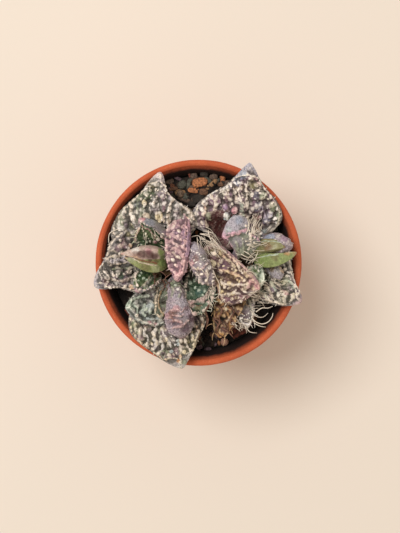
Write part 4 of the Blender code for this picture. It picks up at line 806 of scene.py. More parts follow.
    "leaf_left_hollow_south": """
patch pine 2.9 1 -1.1 -9.1
patch dark 2.5 1 -3.1 -5.5, 2 0.9 1.8 -7.5
patch teal 2 0.8 0.2 -12.4
patch rosy 1.6 0.8 -2.7 -17.3, 1.6 0.6 1.8 -15.7
patch dark 1.2 0.9 -4.8 -10.8
patch olive 1.4 0.9 -0.2 -19
ridge rosy 0.82 0.98 1.2 -4.3 -16.5 -1.9 -16.1 0.6 -15.7 3 -14.5 4.3 -12.4
ridge rosy 0.66 0.74 1 -4.3 -16.5 -3.9 -19 -3.5 -21 -1.5 -21
ridge rust 0.33 0.37 0.4 -3.1 -17.8 -1.1 -17.8 1.4 -17.8
ridge sand 0.49 0.66 1 6.7 -3.8 5.9 -7.1 5.9 -10.4 5.1 -13.7
beads cream 0.57 0.7 1.3 4.7 -2.6 4.3 -5.9 4.7 -9.1 5.5 -12
lump mint 0.78 0.5 -3.5 -8.3, 0.74 0.5 -1.5 -10.4, 0.78 0.5 0.2 -11.6, 0.7 0.5 2.6 -12, 0.61 0.5 1.8 -13.7
lump mint 0.57 0.4 -4.3 -5.5, 0.57 0.4 -1.9 -7.5
lump rosy 0.82 0.7 4.3 -16.5
lump rust 0.57 -0.2 -2.7 -19.8""",
    "leaf_right_across": """
patch plum 2.5 1 10 -1.4, 1.8 1 9.6 -4.6
patch umber 1.8 0.8 9.6 -6.7, 2 0.9 14.1 -5.9
patch plum 2 0.9 12.9 -10.4, 2.3 1 14.1 -16.9
patch mauve 1.4 1 11.6 5.6, 1.4 1 13.7 3.2, 1.4 0.9 16.2 0.3
patch pink 1.8 0.9 21.9 -7.9, 1.4 0.9 23.9 -9.6
patch dark 0.9 1 8.4 -4.6
patch olive 1.6 0.8 5.5 4.4
patch umber 1.6 0.8 19.4 -10
patch dusk 1.6 0.7 21.5 -12.4
patch dark 0.9 0.9 23.9 -12
patch mauve 1.6 0.8 11.6 -2.2
ridge straw 0.49 0.57 1.9 4.7 1.1 4.7 -1.4 5.9 -3
ridge cream 0.41 0.53 0.9 6.7 8.1 9.2 5.6 11.6 4
ridge straw 0.57 0.66 1 11.2 2.3 13.3 -0.1 15.3 -1.8
ridge cream 0.53 0.61 0.9 14.5 1.5 16.6 -1.8 18.2 -4.2
ridge peach 0.49 0.66 0.9 9.6 -3 12.5 -3.8 15.3 -4.6 17.8 -5.9
ridge cream 0.61 0.78 1.2 9.2 -7.1 11.2 -8.3 14.1 -8.7 16.2 -8.7 18.6 -8.7
ridge cream 0.61 0.78 1.2 8.4 -12.8 11.2 -13.2 14.1 -12.4 17 -12.4
ridge peach 0.49 0.53 0.8 8.4 -7.1 8.8 -10.4 8 -12.8
ridge rosy 0.41 0.41 0.4 7.5 9.3 12.1 5.2 16.2 0.7 20.3 -4.2 24.4 -9.1
ridge dusk 0.7 0.82 0.9 19 -12 21.1 -12.4 23.1 -11.2
ridge cream 0.49 0.53 0.8 15.7 -17.8 17.4 -16.1 18.6 -14.1
beads straw 0.45 0.5 1.2 11.2 -1.4 13.3 -2.6 15.7 -3
beads cream 0.41 0.5 1.1 10.8 -10.4 13.3 -10.4 15.7 -10.8
lump rosy 1.23 1 4.3 6
lump cream 1.02 0.9 7.1 3.6
lump peach 0.74 0.7 10.8 2.3
lump straw 1.72 1.5 6.3 -0.5
lump olive 0.82 -0.2 5.9 -0.5
lump white 0.66 0.7 14.9 -12, 0.61 0.7 17 -8.7
lump cream 0.61 0.6 19.4 -11.6
lump rosy 0.78 0.6 20.7 -9.6
lump cream 0.86 0.9 17.4 -15.3, 0.61 0.6 12.5 -18.6
lump peach 0.66 0.6 13.7 -20.6
lump cream 0.57 0.6 10.8 -15.3
lump peach 0.61 0.6 10.4 -20.2""",
    # the lilac, blue, haze and slate patches to the north and the dusk, dark, plum and mauve ones to the
    # south are partly the leaf's colours, partly painted light on the lit facet and painted shade on the
    # other
    "leaf_right_northwest": """
patch lilac 3.3 0.6 13.7 15
patch blue 2 0.6 16.6 17.1
patch haze 1.6 0.6 12.5 13.4
patch plum 1.6 0.5 9.6 16.7
patch slate 2 0.7 13.7 20.4
patch dusk 2.9 0.7 12.9 6.4
patch mint 2.5 0.7 21.5 4
patch sage 2 0.7 21.1 -0.5
patch dark 1.2 0.6 13.3 5.2, 1.2 0.6 16.2 2.3
patch plum 1.6 0.5 11.2 8.1
patch mauve 1.8 0.8 11.6 8.1
patch dark 2 0.5 17.4 0.3
patch mauve 1.6 0.6 15.3 3.6, 2 1 22.7 16.7
patch rust 1.6 0.9 23.5 13.8
patch slate 2 0.8 25.2 10.1
patch plum 1.2 0.8 21.5 15
ridge pink 0.7 0.78 1 8.4 10.1 12.1 10.9 15.3 11.8 19.4 13.4
ridge sage 0.37 0.45 0.7 15.3 9.3 16.2 6.4 16.2 3.2, 0.41 0.49 0.7 17.8 9.3 18.2 5.6 18.2 2.3
ridge dusk 0.37 0.45 0.7 12.9 8.5 13.7 5.2 14.5 1.5, 0.37 0.45 0.6 10.8 8.5 12.1 5.6 12.9 3.2
ridge cream 0.41 0.41 0.8 20.7 12.6 21.5 9.7 21.9 6.8, 0.41 0.53 0.8 21.9 17.5 22.7 14.6 22.3 12.2
ridge sand 0.41 0.53 0.7 24.4 15.5 24.8 12.6 24.4 10.1
beads cream 0.45 0.6 1 20.3 13.4 21.1 9.3 20.3 5.2 19.4 1.1, 0.45 0.6 1.1 22.3 12.6 22.7 8.5 21.9 4.4
beads cream 0.45 0.5 1 18.2 10.1 19.8 8.1 20.7 6
beads white 0.49 0.7 1.1 20.7 18.3 23.1 17.5 25.6 15, 0.49 0.7 1.1 23.9 12.6 25.6 10.1 26.4 7.7
lump cream 0.61 0.5 19.4 15, 0.57 0.5 21.1 10.9""",
    "leaf_right_east": """
patch blue 2.5 0.9 29.3 10.1
patch orchid 2 1 35.4 10.1
patch white 1 0.6 32.6 10.5
ridge dusk 0.25 0.33 0.2 27.6 8.9 30.1 9.3 33.4 8.9""",
    "leaf_right_mint": """
patch mint 2.5 0.9 25.2 -5
patch leaf 1.6 0.9 23.5 -3.8
ridge mint 0.49 0.57 0.7 21.9 -2.2 23.1 -4.6 23.9 -6.7
lump mint 1.23 1 26 -5.5
lump cream 0.57 0.5 23.5 -2.2, 0.53 0.5 24.8 -3.4""",
    "leaf_right_ridge": """
patch plum 1.8 0.9 27.6 -1.4
patch umber 1.4 0.9 30.1 -2.6
patch grey 1.6 0.6 33.8 -0.5
ridge tan 0.7 0.82 0.9 31.3 0.3 33 -2.2 34.2 -4.2""",
    # the large wine patch here is partly the leaf's own colour, partly painted shade in its shadowed hollow
    "leaf_right_west": """
patch wine 4.9 1 7.1 15.9
patch dark 1.6 0.9 3.9 14.2, 1.6 0.8 3 18.3
ridge sand 0.49 0.66 0.9 0.6 22 1.8 19.1 3 15
ridge sage 0.57 0.74 0.9 2.2 23.2 3.4 20.8 4.3 17.9""",
    "leaf_left_southwest": """
patch mint 2.5 1 -28.1 -17.3
patch grey 1.4 0.7 -25.7 -16.5
patch haze 2.9 0.8 -18.7 -17.8, 2.9 0.7 -22 -20.6
patch dark 1.1 0.8 -22.4 -16.5, 0.9 0.8 -24 -18.6, 0.9 0.8 -21.2 -21.4, 0.9 0.8 -23.6 -22.3
patch pink 1.4 1 -17.9 -25.5, 1 0.8 -20.3 -24.7
patch mauve 1.2 0.6 -14.6 -23.5
ridge mint 0.53 0.78 1 -27.7 -15.7 -25.7 -14.9 -23.6 -14.1 -21.2 -14.1
ridge dusk 0.45 0.61 0.9 -27.7 -19.4 -26.5 -20.2 -24.8 -21.9
ridge mint 0.53 0.74 1 -22.4 -17.3 -23.2 -19.4 -22.4 -21.4
ridge haze 0.66 0.74 1 -21.6 -18.2 -19.5 -17.8 -17.5 -19
ridge haze 0.57 0.66 1 -21.2 -22.7 -19.1 -23.5 -16.6 -22.3 -15.4 -20.6
ridge cream 0.41 0.53 0.8 -24.8 -23.1 -22.8 -23.9 -20.3 -25.1 -18.3 -26
ridge mint 0.49 0.61 0.8 -26.1 -17.8 -25.3 -19.4 -25.7 -21
lump cream 0.82 0.7 -25.7 -21.4
lump mint 0.94 0.9 -19.9 -20.6, 0.74 0.7 -22 -19.4
lump cream 0.57 0.5 -19.1 -16.9""",
    "leaf_right_small_south": """
patch plum 2.5 1 18.6 -21.9
patch sage 2 0.7 21.5 -14.9
ridge white 0.49 0.57 1 16.2 -19.8 15.7 -22.3 17 -24.3 19.4 -25.5 21.5 -24.3 22.3 -21.4
ridge mint 0.49 0.66 0.8 19.4 -14.1 21.1 -16.5 21.9 -19
ridge cream 0.45 0.53 0.8 22.7 -12.4 23.9 -14.9 23.5 -17.3
beads white 0.37 0.4 0.8 17 -20.6 18.6 -21.9 20.7 -21, 0.37 0.4 0.8 17.8 -23.1 19.4 -23.5 20.7 -22.7
lump cream 0.66 0.6 20.3 -12.4
lump mint 0.66 0.6 24.8 -14.1""",
    "leaf_right_dried": """
patch amber 1.2 0.7 9.2 -16.9
patch tan 1.6 0.8 7.1 -16.5
patch plum 1.6 0.8 12.9 -16.5
patch umber 2 0.9 9.2 -19.8
patch rust 2 0.8 6.7 -21.9
patch dark 2.5 1 5.9 -26, 1.6 1 9.6 -22.7
patch tan 1.6 0.8 12.5 -26
patch amber 1.2 0.8 4.3 -20.2
ridge tan 0.57 0.74 1 5.9 -16.5 8 -15.7 10 -16.9
ridge peach 0.49 0.66 1 9.6 -19 12.1 -18.6 13.7 -19.8
ridge tan 0.41 0.57 0.9 5.1 -19 6.7 -21 6.3 -23.5, 0.41 0.53 0.9 11.2 -20.2 12.9 -22.7 12.5 -26 13.7 -28.4
ridge amber 0.41 0.49 0.9 8.4 -24.3 7.5 -27.6 8.8 -30.5
ridge sand 0.37 0.45 0.9 14.1 -17.8 13.3 -21 11.2 -24.3
ridge umber 0.49 0.61 0.8 3.4 -22.7 4.7 -26 5.9 -29.2
lump straw 0.78 0.8 9.2 -16.1, 0.66 0.7 11.2 -19
lump sand 0.66 0.7 13.7 -27.6""",
    "leaf_left_south": """
patch dusk 2 0.9 -10.5 -28.8, 2 0.9 -10.1 -32.1
patch mauve 1.6 0.8 -9.7 -36.2, 1.6 0.8 -10.5 -38.7, 2 0.7 -22 -26, 1.6 0.6 -13 -26.8, 1.2 0.6 -23.2 -30.9
patch green 1.6 0.8 -26.9 -25.5
patch dark 0.9 1 -20.7 -30.1, 0.9 1 -18.3 -32.5, 0.9 1 -15.4 -32.1, 0.9 1 -13.8 -33.7, 1 1 -12.5 -35.8
patch dark 1 1 -17.1 -36.6, 0.9 0.9 -19.9 -35.4, 0.9 0.9 -22.8 -32.9, 0.9 0.9 -24.8 -28.4
patch umber 1.6 0.7 0.2 -28.4, 1.2 0.8 -6.4 -33.3
patch olive 1.4 0.8 -3.9 -32.5
patch lime 1.2 0.8 -1.9 -33.7
patch amber 1.1 0.9 -8.4 -40.3
patch sage 1.6 0.8 -6 -40.7
patch dark 1.6 0.8 -1.1 -25.5
patch umber 1.2 0.6 1.4 -24.7
ridge sage 0.9 1.23 1 -24.4 -29.2 -25.7 -26.8 -26.1 -24.7
ridge cream 0.53 0.74 1.1 -24.8 -32.1 -24 -30.1 -23.2 -27.2
ridge white 0.57 0.82 1.2 -20.7 -32.9 -20.7 -30.9 -22 -29.2 -21.6 -27.6
ridge white 0.7 1.02 1.3 -17.9 -35.8 -17.1 -32.9 -18.3 -30.5 -17.5 -27.6
ridge sage 0.57 0.74 1 -15.8 -33.7 -15.8 -30.5 -15.8 -28
ridge white 0.61 0.9 1.3 -11.3 -34.6 -12.5 -32.1 -13.8 -30.1 -14.6 -27.6
ridge white 0.53 0.7 1.1 -15.8 -37 -14.6 -35 -15.4 -32.5
ridge sage 0.49 0.53 0.8 -12.1 -37.4 -13.8 -36.2 -15.4 -37.4 -13.8 -38.7
ridge cream 0.57 0.78 1.1 -7.2 -36.6 -7.6 -33.3 -7.2 -30.1, 0.53 0.74 1 -3.9 -35.8 -5.2 -32.9 -5.6 -30.1
ridge straw 0.57 0.74 1 -1.5 -34.2 -2.3 -31.7 -3.1 -28.8
ridge peach 0.53 0.7 0.9 0.2 -31.7 0.2 -29.2 -0.7 -26.8
ridge cream 0.37 0.45 0.7 -3.9 -37.8 -1.1 -34.6 1.4 -31.7 3 -28 3.9 -23.9 4.3 -20.6
beads peach 0.53 0.6 2.2 -28.1 -26.4 -26.5 -29.2 -24.4 -32.1 -22.4 -33.3 -20.7 -35.4 -18.3 -37 -15.8 -38.7 \
-13 -39.5
beads white 0.41 0.4 1.2 -11.7 -29.2 -10.5 -31.3 -9.3 -33.7
lump haze 0.86 0.9 -10.9 -36.6
lump straw 0.98 0.9 -6 -37
lump peach 0.74 0.7 -7.6 -38.7
lump straw 0.78 0.8 -1.9 -33.7
lump haze 0.98 0.9 -3.1 -30.1
lump cream 0.78 0.7 -5.2 -32.5, 0.78 0.8 -3.5 -35.8
lump peach 0.86 0.8 1.8 -28.8, 0.9 0.8 0.2 -32.1, 0.74 0.7 1.4 -26
lump cream 0.82 0.7 -7.2 -30.1
lump haze 0.78 0.8 -8.4 -33.7, 0.7 0.7 -8.4 -32.1""",
    "leaf_right_north": """
patch olive 2.3 1 21.9 32.3
patch umber 1.1 0.9 18.2 31.4
patch olive 1.4 0.8 11.6 30.6
patch umber 1.2 0.7 14.9 31
patch mauve 2 0.9 10.8 25.3
patch plum 1.6 0.9 16.6 24.1
patch pink 1.4 0.7 14.9 22.4
patch plum 1.8 1 22.7 22.4
patch rust 2.3 0.9 23.5 18.7
patch dark 1.3 1 21.9 16.7, 1.1 0.9 25.2 17.9
patch orchid 1.6 0.7 27.6 21.2
patch slate 2.5 0.7 28.5 18.3, 2 0.7 24.4 24.1, 2 0.6 23.9 27.8
patch green 1.6 0.9 30.1 24.1, 1.8 0.9 33 19.1, 1.4 0.7 33 14.6
patch dark 1.4 0.9 28.5 12.6
patch blue 2 0.9 18.2 36, 2 0.8 15.7 33.5, 2 0.6 11.6 31.9
patch umber 1.2 0.8 3.9 23.2
patch dark 1.2 0.7 4.7 20.8
patch sage 1.6 0.6 9.6 28.2
ridge cream 0.33 0.45 0.7 21.5 35.5 20.3 33.5 19.4 31 19.4 29.4
ridge cream 0.66 1.02 1.3 19.8 29 19.8 26.1 20.3 23.7 20.7 21.6, 0.33 0.37 0.6 17 32.3 16.2 29.8 17 26.9
ridge sand 0.53 0.7 0.9 14.1 30.6 14.9 28.6 15.3 26.1, 0.49 0.7 0.9 12.5 29.8 12.1 27.8 12.5 26.1
ridge cream 0.41 0.57 0.8 10 29.8 8.4 28.2 7.5 26.1
ridge sand 0.57 0.86 1.1 5.9 27.3 7.1 24.5 6.7 22 6.3 20.4
ridge cream 0.49 0.66 0.8 3.9 26.9 3.4 24.5
ridge peach 0.57 0.78 1 1.8 24.5 3 22.4 2.2 20.4
ridge white 1.31 1.48 1.7 10.4 18.7 12.5 20 14.1 20.8
ridge sand 0.66 0.82 1 16.2 20 18.2 20.8 20.7 20, 0.49 0.61 0.8 16.2 17.9 18.2 18.7 19.8 17.5
ridge mint 0.66 0.82 0.9 17.4 24.9 17.8 22.8 18.2 21.2
ridge rosy 0.45 0.53 0.7 22.7 35.5 24.8 32.7 26.8 30.2 29.3 27.8 31.7 24.9 33.8 22 35 18.7
ridge lilac 0.49 0.7 0.8 26 22.8 27.6 20 28.5 16.3, 0.41 0.57 0.7 23.5 24.5 25.6 23.7 27.2 22.4
ridge sage 0.66 0.9 1 31.3 23.7 32.6 20.4 32.6 16.7 32.1 13.4
ridge sage 0.66 0.9 1 26 29 28.5 26.1 30.1 22.8 30.5 19.1
ridge rust 0.41 0.57 0.8 23.5 20.8 24.4 17.9 23.5 15
ridge rosy 0.41 0.53 0.8 21.9 20 23.5 18.7 25.2 20
beads white 0.74 0.7 1.4 16.2 33.1 13.7 32.3 11.2 31 8.4 29.8 5.9 28.6 3.9 26.9 2.2 24.9 1 22.4
beads cream 0.49 0.5 1.3 23.5 29.8 25.6 28.2 27.6 26.5 29.7 25.3
beads white 0.41 0.4 1.2 21.9 27.3 23.9 26.1 26 24.9 28 23.2
beads cream 0.41 0.4 1.2 17.8 28.6 18.2 26.1 18.6 23.7, 0.37 0.5 1.1 10.4 27.8 10.4 25.7 9.2 23.7
lump orchid 1.23 1.2 10.8 23.2
lump pink 1.39 1.6 14.9 22.4
lump haze 1.64 2 11.2 20.4
lump white 0.61 0.8 10.4 21.2, 0.61 0.8 12.5 20
lump cream 0.66 0.7 13.7 24.5
lump green 0.82 0.2 12.5 20
lump white 0.86 0.8 31.3 18.7, 0.74 0.7 32.1 16.7, 0.66 0.6 31.7 22.8
lump cream 0.86 0.8 30.9 13.4, 0.74 0.6 24.4 29.8
lump haze 1.39 1.6 27.2 13
lump sage 1.48 1.6 26 27.3
lump lilac 1.39 1.5 29.3 20.8
lump cream 0.66 0.6 29.3 15""",
    "leaf_right_southeast": """
patch grey 2.9 0.6 36.2 -2.2
patch sage 2.5 0.7 35.4 -7.9
patch umber 1.4 0.9 30.1 -3.8
patch plum 2 0.9 27.6 -1.8
patch dark 1.2 0.8 38.7 0.3
patch pink 1.3 0.9 36.2 -12.8
patch dark 1.6 0.7 36.7 -15.3, 1.2 0.7 31.7 -9.6, 1.2 0.7 33.8 -10.8, 1 0.6 29.3 -10
patch sage 2 0.6 27.6 -12
ridge tan 0.74 0.82 1.2 31.3 -0.1 32.6 -2.2 33.8 -4.2
ridge straw 0.57 0.74 1 28.9 -5 31.7 -6.3 33.8 -7.9
ridge mint 0.45 0.57 0.9 33.8 -7.5 36.7 -7.9 38.7 -10 39.9 -12
ridge sand 0.49 0.66 0.9 26.4 -8.3 28 -9.6 29.3 -11.6 30.5 -14.1
ridge mint 0.49 0.61 0.8 28.5 -7.5 30.5 -9.1 31.7 -11.6 33 -13.7
ridge sand 0.45 0.57 0.8 30.9 -7.5 33 -9.6 34.2 -11.6
ridge mint 0.45 0.57 0.8 26 -10.8 26.8 -12.8 28.5 -14.5
ridge rosy 0.53 0.66 0.9 34.6 -11.2 36.2 -12.8 38.3 -13.7
ridge cream 0.37 0.41 0.7 38.3 0.3 38.7 -3 39.1 -6.7 39.5 -10 39.9 -12.4
ridge sand 0.41 0.45 0.5 26 -14.9 29.3 -15.7 32.6 -16.5 35.8 -17.3
beads white 0.49 0.5 1.2 34.6 0.3 35.8 -2.2 36.7 -4.6 37.5 -7.1
lump cream 0.74 0.7 35.4 -3
lump rosy 0.74 0.7 36.2 -12.4
lump haze 0.82 0.7 35 0.3""",
    # the wine and rust patches and lines along the slit of the two left buds are painted shade in the gap
    # between the young leaves
    "bud_left_north": """
patch white 2 1 -25.7 5.2
patch rosy 2 1 -20.7 5.2
patch pink 1.6 0.8 -20.3 4.4
patch leaf 2 1 -15.4 4.4, 1.6 0.9 -14.6 1.9
patch rust 2 0.6 -25.7 3.6
patch wine 2 0.8 -23.2 3.6, 2.3 0.8 -20.3 3.2, 1.8 0.8 -17.9 2.7
ridge peach 0.2 0.25 0 -29.8 3.2 -26.5 2.3 -23.6 1.5""",
    "bud_left_south": """
patch olive 2.5 0.7 -22 -1.4
patch lime 2 0.9 -17.5 -2.6
patch leaf 1.6 1 -15 -0.1
patch rust 1.2 0.6 -25.7 2.3
patch wine 1.2 0.7 -22.8 1.9, 1.4 0.8 -19.9 1.5, 1.2 0.6 -17.5 0.7
ridge sand 0.2 0.29 0 -27.7 1.9 -24 0.3 -20.3 -0.5 -17.1 -0.9
ridge rust 0.2 0.33 0 -27.7 2.3 -24 1.1 -20.3 0.3 -17.1 -0.1""",
    "bud_right_north": """
patch olive 3.3 0.6 26 6
patch rust 2 0.6 28.5 6.4
patch leaf 1.6 0.8 23.5 6.8
ridge mint 0.2 0.29 0 24.4 2.7 29.3 3.4 33.8 4.6, 0.16 0.2 0 23.5 8.1 28.5 8.9 34.2 8.5""",
    "bud_right_south": """
patch leaf 2.9 1 26.4 0.3
patch olive 2 0.7 31.3 2.3
patch tan 1.8 0.9 36.2 4.4
patch rosy 1 0.8 34.6 6.4
ridge mint 0.2 0.29 0 24.4 2.3 29.3 3 33.4 4.2
ridge peach 0.2 0.2 0 33.4 5.2 35 6.8 37.1 6.4 38.3 4.4""",
}


tints = dict(
    cream="EFE5DA", white="F1EEEC", straw="DACEB0", peach="D9B79C", sand="C9BBAA", sage="8C957D",
    olive="746D4A", green="47603A", leaf="879A60", lime="A2A880", mint="B4C4B4", pine="26452C",
    teal="40605A", dark="221F18", umber="5F4830", rust="7A4A38", wine="431A18", plum="4C3141",
    mauve="80636F", orchid="A087A2", lilac="B5B0BF", rosy="D0AFAF", pink="CC98A2", dusk="827D82",
    slate="6D7688", blue="97A4BC", haze="B6C2C4", grey="9A9A97", amber="AC7238", tan="AE8557")
# Sizes and rises in mm of what covers the leaves between the marks
grain = dict(
    knob=1.95, knobRise=0.9, bead=0.78, beadRise=0.2, finger=4.2, fingerRise=0.3, fingerBreak=3.2,
    mound=5.4, moundRise=2.2, wander=1.8, wanderSize=6.0, warp=1.3, warpSize=3.4, rimWidth=0.6,
    rimWaver=0.9, rimWaverSize=2.2, rimKnob=1.45, fine=0.16, fineSize=1.1, chinSwell=0.5, chinKnob=0.4,
    fullWarts=1.6, smoothed=0.95, underside=0.25, undersideSize=3.0, keelWave=0.3, keelWaveSize=2.6)
# How the outlines of the marks waver, in mm
pen = dict(waver=1.0, waverSize=1.7, speckSize=0.9, widthSize=1.5, knob=1.35)


def stationValue(values, u):
    # a smooth curve through values at even stations
    values = np.array(values, float)
    last = len(values) - 1
    spot = np.clip(u, 0, 1) * last
    low = np.minimum(spot.astype(int), last - 1)
    t = spot - low
    b, c = values[low], values[low + 1]
    a, d = values[np.maximum(low - 1, 0)], values[np.minimum(low + 2, last)]
    slopeB, slopeC = 0.5 * (c - a), 0.5 * (d - b)
    return (b * (2 * t ** 3 - 3 * t ** 2 + 1) + c * (3 * t ** 2 - 2 * t ** 3)
            + slopeB * (t ** 3 - 2 * t ** 2 + t) + slopeC * (t ** 3 - t ** 2))


def spineFrame(leaf, u):
    # a bent line from base to tip, with the side and the face's normal turned about it by the roll
    base, bend, tip = (np.array(leaf[key]) for key in ("base", "bend", "tip"))
    u = u[..., None]
    point = base * (1 - u) ** 2 + bend * 2 * u * (1 - u) + tip * u * u
    along = unit((bend - base) * (1 - u) + (tip - bend) * u)
    side = unit(np.cross(along, up))
    normal = np.cross(side, along)
    turn = math.radians(leaf["roll"])
    return (point, along, side * math.cos(turn) - normal * math.sin(turn),
            normal * math.cos(turn) + side * math.sin(turn))


def closing(u):
    # rounds the nose and the foot
    nose = np.maximum(0, (u - 1 + leafForm["nose"]) / leafForm["nose"])
    foot = np.maximum(0, (leafForm["foot"] - u) / leafForm["foot"])
    return np.sqrt(np.maximum(0, 1 - nose ** 2)) * np.sqrt(np.maximum(0, 1 - foot ** 2))


def halfWidth(leaf, u, s):
    # from the stations of the right side where s is above 0, else of the left one
    return np.where(s > 0, stationValue(leaf["right"], u), stationValue(leaf["left"], u))


def leafPoint(leaf, u, s, height):
    # a point of the spine, moved to the side by a share of the half width and out by a height
    point, _, side, normal = spineFrame(leaf, u)
    return point + side * (halfWidth(leaf, u, s) * closing(u) * s)[..., None] + normal * height[..., None]


def facePoint(leaf, u, s, raised=0.0):
    # the face swells by its station height, less towards the margins
    swell = stationValue(leaf["face"], u) * closing(u) * (1 - np.abs(s) ** leaf.get("crown", 2))
    return leafPoint(leaf, u, s, swell + raised)


def keelPoint(leaf, u, s):
    # the keel hangs by its station depth, which falls off towards the margins by a power curve
    curve = leafForm["budCurve"] if leaf["kind"] == "bud" else leafForm["keelCurve"]
    depth = stationValue(leaf["keel"], u) * closing(u) * (1 - np.abs(s) ** curve) ** leafForm["keelPower"]
    return leafPoint(leaf, u, s, -depth)


def marginLine(leaf, u, s):
    # the share of the half width at which the warty face ends: a band along each side, then a V before
    # the tip
    band = np.where(s > 0, leaf["band"][0], leaf["band"][1])
    return (1 - band) * (1 - smoothStep(u, *leaf["vee"]))


def domes(away, radius, power=0.5):
    # 1 at the middle and 0 from the radius on; half a ball at power 0.5, and more pointed above it
    return np.clip(1 - (away / radius) ** 2, 0, 1) ** power


def knobs(a, b, cell, seed):
    # a dome over each jittered cell, of its own size; gives the dome and the cell's own number
    away, own = cellDistance(a, b, cell, seed)
    return domes(away, cell * (0.46 + 0.2 * own), 0.8) * (0.5 + 0.5 * own), own


def spread(field, rows, columns):
    # the mean over a box round each grid point, taken twice, so it fades off like a bell
    for axis, reach in ((0, rows), (1, columns), (0, rows), (1, columns)):
        edge = [(0, 0), (0, 0)]
        edge[axis] = (reach + 1, reach)
        total = np.cumsum(np.pad(field, edge, mode="edge"), axis=axis)
        size = field.shape[axis]
        field = (np.take(total, np.arange(size) + 2 * reach + 1, axis)
                 - np.take(total, np.arange(size), axis)) / (2 * reach + 1)
    return field


def smoothPath(path, count):
    # a smooth line through the given places, read at count even stations
    t = np.linspace(0, 1, count)
    path = np.array(path, float)
    return np.stack([stationValue(path[:, axis], t) for axis in range(path.shape[1])], -1)


def fromPath(x, y, path):
    # the distance from each place to a bent line, and how far along the line the nearest spot is, 0 to 1
    steps = np.diff(path, axis=0)
    sizes = np.maximum(np.hypot(steps[:, 0], steps[:, 1]), 1e-6)
    best, share, gone = np.full(x.shape, 1e9), np.zeros(x.shape), 0.0
    for start, step, size in zip(path[:-1], steps, sizes):
        t = np.clip(((x - start[0]) * step[0] + (y - start[1]) * step[1]) / size ** 2, 0, 1)
        away = np.hypot(x - start[0] - t * step[0], y - start[1] - t * step[1])
        share = np.where(away < best, (gone + t * size) / sizes.sum(), share)
        best = np.minimum(best, away)
        gone += size
    return best, share


def seenFromAbove(points):
    # the place of each point in the plane of the rim, as the camera above the pot sees it
    grow = eyeAway / (eye[2] - points[..., 2])
    return eye[:2] + (points[..., :2] - eye[:2]) * grow[..., None]


def readMarks(lines):
    # kind, tint, sizes and places of each mark
    for line in lines.strip().splitlines():
        kind, tint, rest = line.split(maxsplit=2)
        first = 3 if kind in ("ridge", "beads") else 2  # where the places begin
        for words in rest.split(","):
            numbers = np.array(words.split(), float)
            yield kind, tint, numbers[:first], numbers[first:].reshape(-1, 2)


def marked(name, seen, seed):
    # the height and the colour of the marks: a ridge is raised to the highest of them, beads and lumps
    # stand on top, patches only colour; each mark's outline wavers a little
    flat = np.concatenate([seen, 0 * seen[..., :1]], -1)
    x = seen[..., 0] + pen["waver"] * centredNoise(flat, pen["waverSize"], seed + 60)
    y = seen[..., 1] + pen["waver"] * centredNoise(flat, pen["waverSize"], seed + 61)
    speckled = 0.8 + 0.5 * smoothNoise(flat, pen["speckSize"], seed + 62)
    widened = 0.65 + 0.7 * smoothNoise(flat, pen["widthSize"], seed + 63)
    lumpy, _ = knobs(x, y, pen["knob"], seed + 64)
    height, colour, share = np.zeros(x.shape), np.zeros(x.shape + (3,)), np.zeros(x.shape)
    chance = np.random.default_rng(seed + 70)
    for kind, tint, sizes, path in readMarks(marks[name]):
        reach = 1.4 * (max(sizes[:2]) if kind == "ridge" else sizes[0]) + 0.4
        near = ((x > path[:, 0].min() - reach) & (x < path[:, 0].max() + reach)
                & (y > path[:, 1].min() - reach) & (y < path[:, 1].max() + reach))
        if not near.any():
            continue
        px, py = x[near], y[near]
        fromStart = np.hypot(px - path[0, 0], py - path[0, 1])
        if kind == "patch":
            cover = sizes[1] * smoothStep(fromStart / sizes[0] + 0.5 * (speckled[near] - 1.05), 1.15, 0.45)
        elif kind == "ridge":
            away, t = fromPath(px, py, smoothPath(path, 4 * len(path)))
            dome = domes(away, (sizes[0] + (sizes[1] - sizes[0]) * t) * 1.15 * widened[near], 0.8)
            beaded = lumpy[near] if sizes[2] else 1.0
            height[near] = np.maximum(height[near], sizes[2] * dome * (0.5 + 0.75 * beaded))
            cover = smoothStep(dome * (0.45 + 0.75 * beaded), 0.15, 0.65) * (0.65 if sizes[2] else 0.92)
        elif kind == "beads":
            line = smoothPath(path, 8 * len(path))
            count = max(2, int(np.hypot(*np.diff(line, axis=0).T).sum() / sizes[2]))
            spots = smoothPath(line, count) + chance.uniform(-0.12, 0.12, (count, 2)) * sizes[2]
            dome = 0 * px
            for spot, size in zip(spots, chance.uniform(0.75, 1.25, count)):
                dome = np.maximum(dome, domes(np.hypot(px - spot[0], py - spot[1]), sizes[0] * size))
            height[near] = height[near] + sizes[1] * dome
            cover = smoothStep(dome, 0.15, 0.7) * 0.9
        else:
            dome = domes(fromStart, sizes[0])
            height[near] = height[near] + sizes[1] * dome
            cover = smoothStep(dome, 0.1, 0.6)
        ink = np.array(rgb(tints[tint])[:3])
        colour[near] = colour[near] * (1 - cover[:, None]) + ink * cover[:, None]
        share[near] = share[near] * (1 - cover) + cover
    return height, colour / np.maximum(share, 1e-4)[..., None], share


